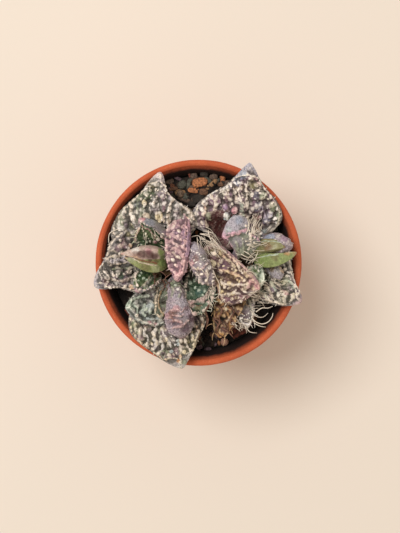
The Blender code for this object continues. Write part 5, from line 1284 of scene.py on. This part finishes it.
def skinRelief(leaf, u, s, seed):
    # broken fingers run along the leaf, knobs and beads of two sizes lie all over them, and a row
    # of small knobs follows the margin; gives the height in mm and the masks that the coat reads
    spine = spineFrame(leaf, u[:, 0])[0]
    run = np.concatenate([[0], np.cumsum(np.linalg.norm(np.diff(spine, axis=0), axis=1))])[:, None] + 0 * s
    width = halfWidth(leaf, u, s)
    widest = np.where(s > 0, max(leaf["right"]), max(leaf["left"]))
    lateral = s * width
    flat = np.stack([run, lateral, 0 * run], -1)
    a = run + grain["warp"] * centredNoise(flat, grain["warpSize"], seed + 30)
    b = lateral + grain["warp"] * centredNoise(flat, grain["warpSize"], seed + 31)
    knob, own = knobs(a, b, grain["knob"], seed)
    bead, beadOwn = knobs(a, b, grain["bead"], seed + 1)
    mound, _ = knobs(a, b, grain["mound"], seed + 4)
    wander = grain["wander"] * centredNoise(flat, grain["wanderSize"], seed + 2)
    phase = s * width ** 0.55 * widest ** 0.45 / grain["finger"] + wander
    finger = np.cos(2 * np.pi * phase) * 0.5 + 0.5
    broken = smoothStep(layeredNoise(flat, grain["fingerBreak"], seed + 3), 0.36, 0.6)
    fingers, knobby, beady = leaf["share"]
    scale = min(1.0, leaf["warts"] / grain["fullWarts"]) if leaf["warts"] else 1.0
    line = marginLine(leaf, u, s)
    onFace = smoothStep(line - np.abs(s), -0.02, 0.08) if leaf["faced"] else 0 * s
    cover = 1 + 0 * s if leaf["kind"] == "keel" else onFace
    chin = 1 - onFace
    height = scale * cover * (fingers * (grain["fingerRise"] * finger * broken + grain["moundRise"] * mound)
                              + knobby * grain["knobRise"] * knob * (0.4 + 0.6 * broken)
                              + beady * grain["beadRise"] * bead)
    waver = grain["rimWaver"] * centredNoise(flat, grain["rimWaverSize"], seed + 7)
    rim = np.exp(-(((np.abs(s) - line) * width + waver) / grain["rimWidth"]) ** 2)
    rim = rim * (1 - smoothStep(u, 0.97, 1.0)) * leaf["rim"]
    along, _ = knobs(run, lateral, grain["rimKnob"], seed + 8)
    height = height + rim * (0.1 + 0.8 * along)
    height = height + leaf["chinBead"] * chin * bead
    height = height + grain["fine"] * centredNoise(flat, grain["fineSize"], seed + 5) * (0.25 + onFace)
    if leaf["kind"] in ("warty", "hollow"):
        height = height + grain["chinSwell"] * chin * (1 - s * s) * smoothStep(u, 0.6, 0.85)
    pale = cover * smoothStep(knob, 0.1, 0.75) * smoothStep(own, 0.35, 0.5) * knobby
    pale = np.clip(pale + cover * beady * 0.6 * smoothStep(bead * (0.3 + 0.9 * beadOwn), 0.45, 0.75), 0, 1)
    if leaf["kind"] == "warty":
        height = height + grain["chinKnob"] * chin * knob * (1 - s * s)
        pale = np.maximum(pale, 0.7 * chin * smoothStep(knob, 0.2, 0.7) * smoothStep(own, 0.3, 0.6))
    return height, dict(pale=pale, chin=chin, edge=np.clip(1.3 * rim * smoothStep(along, 0.1, 0.6), 0, 1))


def strands(paths, radii):
    # a thin four-sided tube along each path: paths are (strand, point, xyz), radii (strand, point)
    corners = 4
    count, length = paths.shape[:2]
    way = unit(np.gradient(paths, axis=1))
    across = unit(np.cross(way, up + np.array([0.13, 0.07, 0.0])))
    other = np.cross(way, across)
    angle = np.arange(corners) / corners * 2 * np.pi
    ring = across[:, :, None] * np.cos(angle)[:, None] + other[:, :, None] * np.sin(angle)[:, None]
    points = paths[:, :, None] + ring * radii[:, :, None, None]
    one = gridFaces(length, corners)
    lid = np.array([[0, 3, 2, 1], [-4, -3, -2, -1]])
    lid[1] += length * corners
    one = np.concatenate([one[:, ::-1], lid[:, ::-1]])
    faces = (one[None] + (np.arange(count) * length * corners)[:, None, None]).reshape(-1, 4)
    return points.reshape(-1, 3), faces


def bristlePaths(root, out, over, length, seed):
    # from each root outward, bending over and to one side as it goes
    steps, curl, radius = 7, 0.45, 0.24
    count = len(root)
    chance = np.random.default_rng(seed)
    t = np.linspace(0, 1, steps)[None, :, None]
    sideways = unit(np.cross(out, over)) * chance.uniform(-1, 1, (count, 1))
    bend = over * chance.uniform(0.2, 1.0, (count, 1)) + sideways
    size = (length * chance.uniform(0.55, 1.15, count))[:, None, None]
    swing = np.sin(t * chance.uniform(2.0, 5.0, (count, 1, 1)) + chance.uniform(0, 6, (count, 1, 1)))
    paths = root[:, None] + out[:, None] * size * t + bend[:, None] * size * curl * t ** 2
    paths = paths + np.cross(out, bend)[:, None] * swing * t * size * 0.12 * curl
    return paths, radius * (1 - 0.75 * t[..., 0]) * np.ones((count, 1))


def addBristles(shape, leaf, seed):
    # a row of bristles along each margin, from a third of the way up to the tip's V
    right, left, length = leaf["bristles"]
    chance = np.random.default_rng(seed + 100)
    for edge, count in ((1.0, right), (-1.0, left)):
        if not count:
            continue
        last = leaf["vee"][0] + 0.3 * (leaf["vee"][1] - leaf["vee"][0])
        u = np.linspace(0.3, last, count) + chance.uniform(-0.015, 0.015, count)
        s = edge * marginLine(leaf, u, np.full(count, edge))
        root = facePoint(leaf, u, s, -0.1)
        _, along, side, normal = spineFrame(leaf, u)
        rise = chance.uniform(0.2, 1.2, count)[:, None]
        lean = along * chance.uniform(0.0, 0.9, (count, 1))
        out = unit(side * edge * np.cos(rise) + normal * np.sin(rise) + lean)
        over = unit(normal * 0.6 - side * edge * 0.8)
        points, faces = strands(*bristlePaths(root, out, over, length, seed + int(edge) + 5))
        shape.add(points, faces, bristle=1.0)


def leafFinish(name, look, glossy):
    # flesh with a smooth chin and tip, then paint from the marks, pale warts and edges, light and dark from
    # fine noise, a painted highlight on the crests, painted shade in the pits (partly the darker flesh
    # there), and pale bristles over all
    look = {**plainCoat, **look}
    made, shader, place = startFinish(name)
    pale, pit, chin, edge, crest = (place.mask(key) for key in ("pale", "pit", "chin", "edge", "crest"))
    bristle, along, inked = place.mask("bristle"), place.mask("along"), place.mask("inked")
    broad = place.noise(0.16, 2.0)
    fine = place.noise(0.95, 3.0, 0.65)
    speck = place.noise(3.2, 2.0, 0.6)
    share = 0.5 + (0.5 - look["share"]) * 0.6
    colour = broad.step(share - 0.1, share + 0.1).mix(rgb(look["flesh"]), rgb(look["tint"]))
    smooth = place.cells(0.95).step(0.2, 0.36).mix(rgb(look["chinDark"]), rgb(look["chin"]))
    smooth = broad.step(0.35, 0.65, 0.0, 0.45).mix(smooth, rgb(look["tint"]))
    colour = chin.mix(colour, smooth)
    colour = (along.step(0.9, 0.99) * 0.6).mix(colour, rgb(look["tip"]))
    white = place.noise(0.3, 1.0).step(0.5, 0.62).mix(rgb(look["wart"]), rgb(look["second"]))
    colour = inked.mix(colour, place.paint())
    white = (inked * 0.45).mix(white, place.paint())
    if not glossy:
        colour = (1 - chin * place.cells(1.15).step(0.16, 0.34, 0.55, 0.0)).shade(colour)
    colour = (pale * crest.step(0.0, 0.6, 0.35, 0.9)).mix(colour, white)
    colour = (edge * fine.step(0.25, 0.6, 0.5, 1.0) * 0.9).mix(colour, rgb(look["edge"]))
    colour = fine.step(0.25, 0.75, 0.7, 1.24).shade(colour)
    colour = speck.step(0.3, 0.7, 0.84, 1.14).shade(colour)
    # painted highlight: the raised crests are made up to 12 % lighter, the rest slightly darker
    colour = crest.step(0.0, 1.0, 0.97, 1.12).shade(colour)
    # painted shade: the pits, hollows of the relief, are mixed toward the deep colour, partly the darker
    # flesh there
    colour = (pit * fine.step(0.2, 0.8, 0.65, 0.95)).mix(colour, rgb(look["deep"]))
    colour = bristle.mix(colour, rgb(look["wart"]))
    height = fine + speck * 0.5
    wire(shader, Base_Color=colour, Roughness=0.34 if glossy else 0.55, Normal=bump(height, 0.1))
    return made


skins = []


def makeLeaf(name, leaf, seed):
    # rows run from foot to nose; each row is a ring that goes over the face and back under the keel
    rows, top, under = leaf["grid"]
    middle = np.linspace(0.2, 1 - leafForm["nose"], rows)
    noseTurn = np.linspace(0, np.pi / 2, max(10, rows // 6))[1:-1]
    nose = 1 - leafForm["nose"] + leafForm["nose"] * np.sin(noseTurn)
    foot = leafForm["foot"] * (1 - np.cos(np.linspace(0, np.pi / 2, 5)[1:]))
    u = np.concatenate([foot, [0.12, 0.16], middle, nose])[:, None]
    face = np.linspace(1, -1, top + 1)[None, :]
    keel = -np.cos(np.linspace(0, np.pi, under + 1))[None, 1:-1]
    s = np.concatenate([face, keel], 1) + 0 * u
    u = u + 0 * s
    count, around = s.shape
    onTop = np.arange(around)[None, :] <= top
    flat = np.where(onTop[..., None], facePoint(leaf, u, s), keelPoint(leaf, u, s))
    out = unit(np.cross(np.roll(flat, -1, 1) - np.roll(flat, 1, 1), np.gradient(flat, axis=0)))
    facing = np.sum(out * spineFrame(leaf, u)[3], -1) * np.where(onTop, 1, -1)
    out = out * np.sign(facing.mean())
    height, masks = skinRelief(leaf, u, s, seed)
    if leaf["faced"]:
        height = np.where(onTop, height * np.clip((1 - np.abs(s)) * 12, 0.3, 1),
                          grain["underside"] * centredNoise(flat, grain["undersideSize"], seed + 21))
        masks = {key: np.where(onTop, value, 1.0 if key == "chin" else 0.0) for key, value in masks.items()}
    else:
        height = height + grain["keelWave"] * centredNoise(flat, grain["keelWaveSize"], seed + 21)
    markHeight, paint, inked = marked(name, seenFromAbove(flat), seed)
    upward = smoothStep(out[..., 2], 0.02, 0.3)
    edgeSoft = np.where(onTop, np.clip((1 - np.abs(s)) * 10, 0.3, 1), 1.0)
    calm = 1 - 0.2 * smoothStep(markHeight, 0.1, 0.8)
    height = (height * calm + markHeight * upward * edgeSoft) * closing(u) ** 0.5
    rowStep = np.median(np.linalg.norm(np.diff(flat[8:-8], axis=0), axis=-1))
    ringStep = np.median(np.linalg.norm(np.diff(flat[count // 2, :top], axis=0), axis=-1))
    proud = height - spread(height, *(int(np.clip(round(grain["smoothed"] / step), 1, 12))
                                      for step in (rowStep, ringStep)))
    # pit marks the hollows that the finish darkens as painted shade; crest marks the raised spots that it
    # lightens as a painted highlight and where the pale warts go
    masks = dict(masks, pit=smoothStep(-proud, 0.05, 0.34), crest=smoothStep(proud, 0.02, 0.3),
                 inked=inked * upward, along=u)
    base, tip = (facePoint(leaf, np.array([end]), np.array([0.0])) for end in (0.0, 1.0))
    shape = Shape()
    shape.add(flat + out * height[..., None], gridFaces(count, around), **masks)
    shape.close(count, around, base, tip, chin=1.0, along=[0.0, 1.0])
    addBristles(shape, leaf, seed)
    finish = leafFinish(name, coats[leaf["coat"]], leaf["kind"] == "bud")
    made = shape.piece(name.replace("leaf", "skin").replace("bud", "young"), finish, leaf["slot"], [name])
    inks = np.ones((shape.count, 4))
    inks[:count * around, :3] = paint.reshape(-1, 3)
    paintPoints(made, inks)
    skins.append(made)


for number, (leafName, leaf) in enumerate(leaves.items()):
    makeLeaf(leafName, {**leafKinds[leaf["kind"]], **leaf}, number)
print("leaves made")


def skinTree():
    # one search tree of all the leaf skins, in millimetres
    points, faces, count = [], [], 0
    for made in skins:
        mesh = made.data
        here = np.empty(3 * len(mesh.vertices), np.float32)
        mesh.vertices.foreach_get("co", here)
        points.append(here.reshape(-1, 3) / mm)
        mesh.calc_loop_triangles()
        corners = np.empty(3 * len(mesh.loop_triangles), np.int32)
        mesh.loop_triangles.foreach_get("vertices", corners)
        faces.append(corners.reshape(-1, 3) + count)
        count += len(mesh.vertices)
    return BVHTree.FromPolygons(np.concatenate(points).tolist(), np.concatenate(faces).tolist())


strandLook = dict(seed=33, radius=(0.07, 0.14), lift=(0.8, 2.2), fall=0.7, bare=4.0)


def makeStrands():
    # each strand follows its places from above, laid on the skins and lifted in the middle; from its
    # highest spots it falls no steeper than the slope named fall, so it bridges gaps between leaves
    tree = skinTree()
    chance = np.random.default_rng(strandLook["seed"])
    shapes = {"pale": Shape(), "rag": Shape()}
    loose = []
    for x, y, wide, tall, angle, length, count in tufts:
        for _ in range(count):
            way = math.radians(angle) + chance.normal(0, 0.4)
            start = np.array([x, y]) + chance.uniform(-1, 1, 2) * [wide, tall]
            along, size = np.array([math.cos(way), math.sin(way)]), length * chance.uniform(0.5, 1.3)
            across = np.array([-along[1], along[0]]) * size * chance.uniform(-0.16, 0.16)
            sizes = chance.uniform(*strandLook["radius"]), chance.uniform(*strandLook["lift"])
            loose.append(("strand", "pale", sizes, [start, start + along * size * 0.5 + across,
                                                    start + along * size]))
    for _, kind, (radius, lift), path in [*readMarks(strandLines), *loose]:
        line = smoothPath(path, 5 * len(path))
        level = []
        for x, y in line.tolist():
            way = (Vector((x, y, view["rimTop"])) - Vector(eye)).normalized()
            hit = tree.ray_cast(Vector(eye), way)[0]
            level.append(hit.z if hit else level[-1] if level else view["rimTop"] + strandLook["bare"])
        level = np.convolve(np.pad(level, 2, mode="edge"), np.ones(5) / 5, "valid")
        t = np.linspace(0, 1, len(line))
        far = np.hypot(*np.diff(line, axis=0).T).sum() * np.abs(t[:, None] - t[None])
        level = (level[None] - strandLook["fall"] * far).max(1) + radius + lift * np.sin(np.pi * t)
        places = eye[:2] + (line - eye[:2]) * ((eye[2] - level) / eyeAway)[:, None]
        points, faces = strands(np.column_stack([places, level])[None], (radius * (1 - 0.55 * t ** 2))[None])
        shapes[kind].add(points, faces)
    hair = dict(noise=(0.8, 3.0, 0.6), rough=0.6, relief=0.1)
    shapes["pale"].piece("loose_bristles", mottled("bristle", "F8F1E6", "E0D4C2", **hair), "leaf")
    shapes["rag"].piece("dry_rags", mottled("rag", "8F6858", "482C24", **hair), "dried")


# Single strands, written like the marks: half thickness, lift, then x and y of each place.
strandLines = """
strand pale 0.2 1 -2.3 -1.8 -1.1 -2.6 -0.2 -3.8, 0.2 1 0.6 -2.2 1.8 -3.4 2.6 -4.6
strand pale 0.22 1 3 -3 3.9 -5 3.4 -7.5, 0.22 1.4 17.4 3.6 19.8 2.3 22.7 1.9
strand pale 0.22 1.6 18.2 1.1 20.7 2.3 23.9 3.2, 0.2 1.6 19.4 -0.1 21.1 2.7 23.5 4.4
strand pale 0.22 1.4 17 2.3 20.3 1.1 24.4 1.1, 0.22 1.4 20.3 -0.5 22.7 1.5 25.6 2.3
strand pale 0.2 1.8 18.6 4.8 21.1 3.2 24.4 0.3, 0.2 1.6 21.9 -0.1 23.5 2.3 24.4 4.8
strand pale 0.2 0.7 -3.1 10.5 0.2 10.9 1.4 6.8 3.9 3.6, 0.16 0.9 3 14.6 5.5 13 7.5 8.5 11.6 5.6
strand pale 0.24 0.8 3.9 13.4 4.7 10.1 6.7 6.8, 0.24 1 19.4 -3.8 21.9 -3.8 24.4 -6.3
strand pale 0.26 1 0.6 11.8 3.9 10.9 6.3 9.3 8.8 6.4 11.6 3.6, 0.22 0.8 1 9.7 3.9 8.9 6.3 6.8
strand pale 0.22 0.9 5.5 12.6 7.5 10.1 9.6 6.8, 0.2 0.8 1.8 13 4.7 12.6 7.1 10.9
strand pale 0.24 0.8 21.9 -22.7 23.5 -24.3 26 -25.1 28.5 -24.3 30.1 -22.3 30.5 -20.6
strand pale 0.2 0.8 22.7 -24.7 25.2 -26 27.6 -26.4, 0.22 0.8 23.5 -20.2 26 -18.6 28.5 -18.6 30.5 -17.8
strand pale 0.18 0.9 21.1 -19.4 23.5 -21.9 26.4 -22.3 28.5 -20.6, 0.18 0.9 19.4 -26.4 21.1 -28.4 23.9 -28.8
strand pale 0.2 0.6 5.9 -3 7.1 -5.9 8.4 -8.3 8.8 -11.2 8 -13.7 5.5 -15.3
strand pale 0.2 0.8 19.4 11.8 20.7 15 19.8 18.3, 0.2 0.8 21.5 11.4 22.3 14.6 23.5 17.5
strand pale 0.2 0.8 24.4 12.2 23.5 15 25.2 17.9, 0.2 0.8 26 13.4 24.4 15.9 21.9 19.6
strand pale 0.18 0.6 -33 13.8 -36.3 12.2 -36.9 9.3 -36.3 6.4
strand rag 0.18 0.5 -18.7 -3.8 -17.9 -7.1 -18.7 -10, 0.18 0.6 -17.1 -4.6 -18.3 -7.5 -17.1 -10.4
strand rag 0.4 0.8 4.3 -17.3 3 -20.2 3.9 -23.5 3 -26.8, 0.4 0.9 7.1 -17.3 9.6 -19.4 8.4 -22.7 10.4 -26
strand rag 0.4 0.9 12.5 -17.8 14.5 -20.2 12.9 -23.5 14.5 -26.4
strand rag 0.4 0.8 5.9 -22.7 8.8 -24.3 7.1 -27.6 9.6 -30.5, 0.36 1 9.6 -26.8 12.1 -28.4 14.1 -30.5
strand rag 0.2 0.5 -15.8 -3.4 -13.4 -5.5 -14.6 -8.3 -12.5 -11.2
strand rag 0.2 0.5 -10.9 -4.2 -13.8 -6.7 -11.7 -9.1 -13.8 -12, 0.18 0.6 -10.9 -7.5 -13 -8.7 -15.4 -10.4
strand rag 0.26 0.5 -15.4 -6.7 -13.8 -8.7 -14.6 -11.6, 0.3 0.6 10.4 -23.9 12.1 -26 12.1 -28.4
strand rag 0.3 0.7 13.3 -23.1 14.9 -25.5 12.5 -28.4, 0.28 0.6 3 -22.3 3.4 -24.7 3 -27.2
strand rag 0.3 0.6 6.3 -23.5 8 -26 6.7 -28.8"""
# Tufts of fine bristles: x and y, half width and height, direction in degrees, length, how many
tufts = [
    (21.1, 8.5, 2.5, 4.5, 8, 5.3, 16),
    (3, 10.1, 3.7, 3.3, -42, 5.7, 30),
    (22.7, 15, 2.9, 2.9, 75, 3.3, 20),
    (22.7, -15.3, 2.9, 3.7, 10, 3.7, 30),
    (21.9, -2.2, 2.5, 2.5, 25, 3.3, 14),
    (30.1, -11.2, 4.1, 3.7, -20, 2.5, 26),
    (5.5, -13.7, 2, 4.9, -80, 2.9, 20),
    (16.2, -24.3, 3.3, 2, -60, 2.9, 22),
    (-19.9, 11.4, 2.5, 2.5, -60, 2.5, 12)]

makeStrands()
print("bristles made")


# Bark and clay bits: x and y, half length, half width, turn in degrees and tint of those that show;
# the loose ones are scattered.

barkTints = dict(ginger="B87850", tan="9C7A58", brown="745440", ash="67554A", plum="66525C", slate="53544B",
                 clay="86483A", night="332E29")
bark = dict(loose=150, placed=[
    (-0.2, 32.7, 2.05, 1.64, 15, "ginger"), (2, 33.3, 1.43, 1.43, -20, "ginger"),
    (-2.1, 29.8, 1.89, 0.94, -8, "ginger"), (2, 29, 1.43, 1.23, 0, "brown"),
    (-3.7, 36.6, 0.53, 1.48, 8, "clay"), (-1.9, 35.5, 1.23, 1.23, 10, "ash"),
    (2.4, 36.4, 1.43, 1.23, -15, "night"), (6.1, 35.3, 1.43, 1.02, 20, "ash"),
    (5.3, 32.1, 2.54, 0.82, 45, "tan"), (9.8, 34.5, 1.02, 1.02, 0, "ginger"),
    (-7.4, 28.6, 1.84, 1.23, -10, "tan"), (-6.8, 32, 1.64, 1.31, 40, "slate"),
    (-12.1, 33.6, 1.64, 1.15, 10, "ash"), (-8.4, 34.5, 1.23, 0.61, -20, "plum"),
    (-10.1, 30.4, 1.64, 0.66, 12, "brown"), (-0.2, 26.3, 2.05, 1.43, 10, "night"),
    (-1.1, 26.1, 0.61, 0.61, 10, "slate"), (-5.6, 25.9, 2.05, 1.02, -25, "ash"),
    (-2.7, 24.1, 1.43, 1.07, 0, "night"), (13.7, 33.5, 1.72, 0.82, 30, "night"),
    (11.2, 32.7, 1.72, 0.9, 15, "ash"), (3.9, -35.8, 1.31, 0.98, 10, "plum"),
    (6.3, -33.3, 1.07, 0.82, 0, "plum"), (0.2, -34.6, 1.23, 0.98, 30, "plum"),
    (-29.8, -21, 0.98, 1.64, 20, "clay")])


# Soil, grit and loose stones.

soil = dict(top=66.5, heap=(2.0, 30.0), heapRadius=15.0, heapHeight=4.5, rings=70, sides=200, clod=1.9,
            grains=520)


def soilHeight(x, y):
    # level, with one round heap
    away = np.hypot(x - soil["heap"][0], y - soil["heap"][1]) / soil["heapRadius"]
    return soil["top"] + soil["heapHeight"] * np.maximum(0, 1 - away ** 2)


def soilFinish(name):
    # the tone of each point, from black over brown to clay, darkened and lightened by fine noise
    made, shader, place = startFinish(name)
    tone = place.mask("tone")
    fine = place.noise(1.4, 4.0, 0.7)
    ramp = tone.node("ShaderNodeValToRGB", {"stops": [
        (0.0, rgb("0D0907")), (0.3, rgb("1A110D")), (0.55, rgb("33231A")), (0.75, rgb("554036")),
        (0.88, rgb("9C5B38")), (0.95, rgb("B9805A"))]}, {0: tone})
    colour = fine.step(0.3, 0.75, 0.5, 1.5).shade(ramp)
    wire(shader, Base_Color=colour, Roughness=0.85, Normal=bump(fine, 0.25))
    return made


def makeSoil():
    # a turned block that fills the pot; its top has clods, a dome over each cell, and slow waves
    finish = soilFinish("soil")
    rings, sides, bottom = soil["rings"], soil["sides"], pot["floor"] + 0.4
    edge = wallInside(soil["top"]) - 0.35
    below = [edge - 0.3, wallInside(pot["floor"]) - 0.4, 0.4]
    radius = np.concatenate([np.linspace(0.4, edge, rings), below])
    level = np.concatenate([np.full(rings, soil["top"]), [soil["top"] - 2.0, bottom, bottom]])
    points = turnedShape(np.stack([radius, level], 1), sides)
    ground = points[:rings]
    away, own = cellDistance(ground[..., 0], ground[..., 1], soil["clod"], 3)
    clods = np.clip(1 - (away / 1.2) ** 2, 0, 1) * (0.3 + 0.9 * own)
    waves = 1.4 * (layeredNoise(ground, 5.0, 8) - 0.6)
    inside = smoothStep(radius[:rings], edge, edge - 1.5)[:, None]
    ground[..., 2] = soilHeight(ground[..., 0], ground[..., 1]) + inside * (clods + waves)
    tone = np.full(points.shape[:2], 0.2)
    tone[:rings] = 0.1 + 0.35 * own * smoothStep(own, 0.5, 0.9)
    shape = Shape()
    shape.add(points, gridFaces(len(radius), sides), tone=tone)
    shape.close(len(radius), sides, [0, 0, ground[0, :, 2].mean()], [0, 0, bottom], tone=0.2)
    shape.piece("soil_fill", finish, "soil", ["soil"])
    return finish


def pebble(level):
    # an icosahedron, each face cut in four as often as the level says, pushed onto the unit ball
    g = (1 + 5 ** 0.5) / 2
    points = unit(np.array([
        (-1, g, 0), (1, g, 0), (-1, -g, 0), (1, -g, 0), (0, -1, g), (0, 1, g), (0, -1, -g), (0, 1, -g),
        (g, 0, -1), (g, 0, 1), (-g, 0, -1), (-g, 0, 1)], float))
    faces = np.array([
        (0, 11, 5), (0, 5, 1), (0, 1, 7), (0, 7, 10), (0, 10, 11), (1, 5, 9), (5, 11, 4), (11, 10, 2),
        (10, 7, 6), (7, 1, 8), (3, 9, 4), (3, 4, 2), (3, 2, 6), (3, 6, 8), (3, 8, 9), (4, 9, 5),
        (2, 4, 11), (6, 2, 10), (8, 6, 7), (9, 8, 1)])
    for _ in range(level):
        sides = np.sort(np.concatenate([faces[:, [0, 1]], faces[:, [1, 2]], faces[:, [2, 0]]]), 1)
        single, back = np.unique(sides, axis=0, return_inverse=True)
        back = back.reshape(3, -1) + len(points)
        points = np.concatenate([points, unit(points[single].sum(1))])
        a, b, c = faces.T
        ab, bc, ca = back
        cut = (a, ab, ca), (b, bc, ab), (c, ca, bc), (ab, bc, ca)
        faces = np.concatenate([np.stack(f, 1) for f in cut])
    return points, faces


def turns(chance, count):
    # an even random turn for each of many pieces
    q = unit(chance.normal(size=(count, 4)))
    w, x, y, z = q.T
    return np.stack([np.stack([1 - 2 * (y * y + z * z), 2 * (x * y - z * w), 2 * (x * z + y * w)], -1),
                     np.stack([2 * (x * y + z * w), 1 - 2 * (x * x + z * z), 2 * (y * z - x * w)], -1),
                     np.stack([2 * (x * z - y * w), 2 * (y * z + x * w), 1 - 2 * (x * x + y * y)], -1)], 1)


def makeGrit(finish):
    # grains with dents and turns of their own, spread evenly over the soil; more clay ones on the heap
    chance = np.random.default_rng(12)
    count = soil["grains"]
    angle = chance.uniform(0, 2 * np.pi, count)
    reach = np.sqrt(chance.uniform(0.1, 1.0, count)) * (wallInside(soil["top"]) - 1.6)
    x, y = reach * np.cos(angle), reach * np.sin(angle)
    ball, faces = pebble(0)
    size = chance.uniform(0.45, 1.25, (count, 3)) * np.where(chance.random(count) < 0.2, 1.5, 1.0)[:, None]
    dents = 1 + 0.28 * (hashed(np.arange(len(ball))[None, :], np.arange(count)[:, None], 4, 2) - 0.5)
    points = np.einsum("nij,npj->npi", turns(chance, count), ball[None] * size[:, None] * dents[..., None])
    points = points + np.stack([x, y, soilHeight(x, y) + 0.1], -1)[:, None]
    tone = np.clip(chance.normal(0.36, 0.2, count), 0.02, 0.8)
    heap = smoothStep(np.hypot(x - soil["heap"][0], y - soil["heap"][1]), 13.0, 5.0)
    tone = np.where(chance.random(count) < 0.12 * heap + 0.02, chance.uniform(0.84, 0.97, count), tone)
    whole = (faces[None] + (np.arange(count) * len(ball))[:, None, None]).reshape(-1, 3)
    shape = Shape()
    shape.add(points.reshape(-1, 3), whole, tone=np.repeat(tone, len(ball)))
    shape.piece("soil_grit", finish, "soil", smooth=False)


stones = {
    "stone_round": dict(colour="C9A08C", dark="8F6757"),
    "stone_tan_left": dict(colour="8B7663", dark="4E3F33"),
    "stone_tan_right": dict(colour="9A7458", dark="5B3F2E"),
}


def barkFinish():
    # each chip's own colour, darkened and lightened by fine noise
    made, shader, place = startFinish("bark")
    fine = place.noise(1.3, 4.0, 0.7)
    colour = fine.step(0.3, 0.72, 0.4, 1.5).shade(place.paint())
    wire(shader, Base_Color=colour, Roughness=0.8, Normal=bump(fine, 0.3))
    return made


def makeBark():
    # bark and clay bits of the potting mix: balls pushed into blocks with dents, half sunk in the soil
    ball, faces = pebble(1)
    blocky = 1.18 * np.sign(ball) * np.abs(ball) ** 0.7
    chance = np.random.default_rng(21)
    reach = np.sqrt(chance.uniform(0.0, 1.0, bark["loose"])) * (wallInside(soil["top"]) - 2.0)
    angle = chance.uniform(0, 2 * np.pi, bark["loose"])
    loose = zip(reach * np.cos(angle), reach * np.sin(angle), chance.uniform(0.8, 1.9, bark["loose"]),
                chance.uniform(0.6, 1.2, bark["loose"]), chance.uniform(0, 180, bark["loose"]),
                chance.choice(["night", "slate", "ash", "brown", "plum"], bark["loose"]))
    shape, inks = Shape(), []
    for number, (x, y, long, wide, turn, tint) in enumerate([*loose, *bark["placed"]]):
        rough = 1 + 0.5 * centredNoise(ball + number * 3.1, 0.8, number)
        lean = math.radians(turn)
        deep = min(long, wide) * 0.8
        level = float(soilHeight(x, y)) + 0.35 * deep
        grow = (eye[2] - level) / eyeAway  # from the plane of the rim down to the chip
        points = blocky * rough[:, None] * [long, wide, deep] * 1.06 * grow
        points = np.stack([points[:, 0] * math.cos(lean) - points[:, 1] * math.sin(lean),
                           points[:, 0] * math.sin(lean) + points[:, 1] * math.cos(lean), points[:, 2]], -1)
        shape.add(points + [x * grow, y * grow, level], faces)
        inks.append(np.tile(rgb(barkTints[tint]), (len(ball), 1)))
    paintPoints(shape.piece("soil_bark", barkFinish(), "soil", smooth=False), np.concatenate(inks))


def makeStones():
    # a ball with dents in the place of each stone of the CAD, as large as its box
    ball, faces = pebble(3)
    for number, (name, stone) in enumerate(stones.items()):
        low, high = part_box(name)
        middle, half = np.array((low + high) / 2) / mm, np.array((high - low) / 2) / mm
        rough = 1 + 0.12 * centredNoise(ball, 0.7, number + 40)
        shape = Shape()
        shape.add(ball * rough[:, None] * half + middle, faces)
        finish = mottled(name, stone["colour"], stone["dark"], (0.7, 3.0, 0.6), rough=0.75, relief=0.2)
        shape.piece(name.replace("stone", "pebble"), finish, "stone", [name])


soilCoat = makeSoil()
makeGrit(soilCoat)
makeBark()
makeStones()
print("soil and stones made")

for name, finish in (("stem_left", mottled("stem_left_cork", "6B5137", "2E2015")),
                     ("stem_right", mottled("stem_right_cork", "6B5137", "2E2015")),
                     ("shard", mottled("shard_clay", "7E3F31", "3A1C16", (0.9, 4.0, 0.65), (0.35, 0.68)))):
    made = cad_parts[name]
    made.data.materials.clear()
    made.data.materials.append(finish)
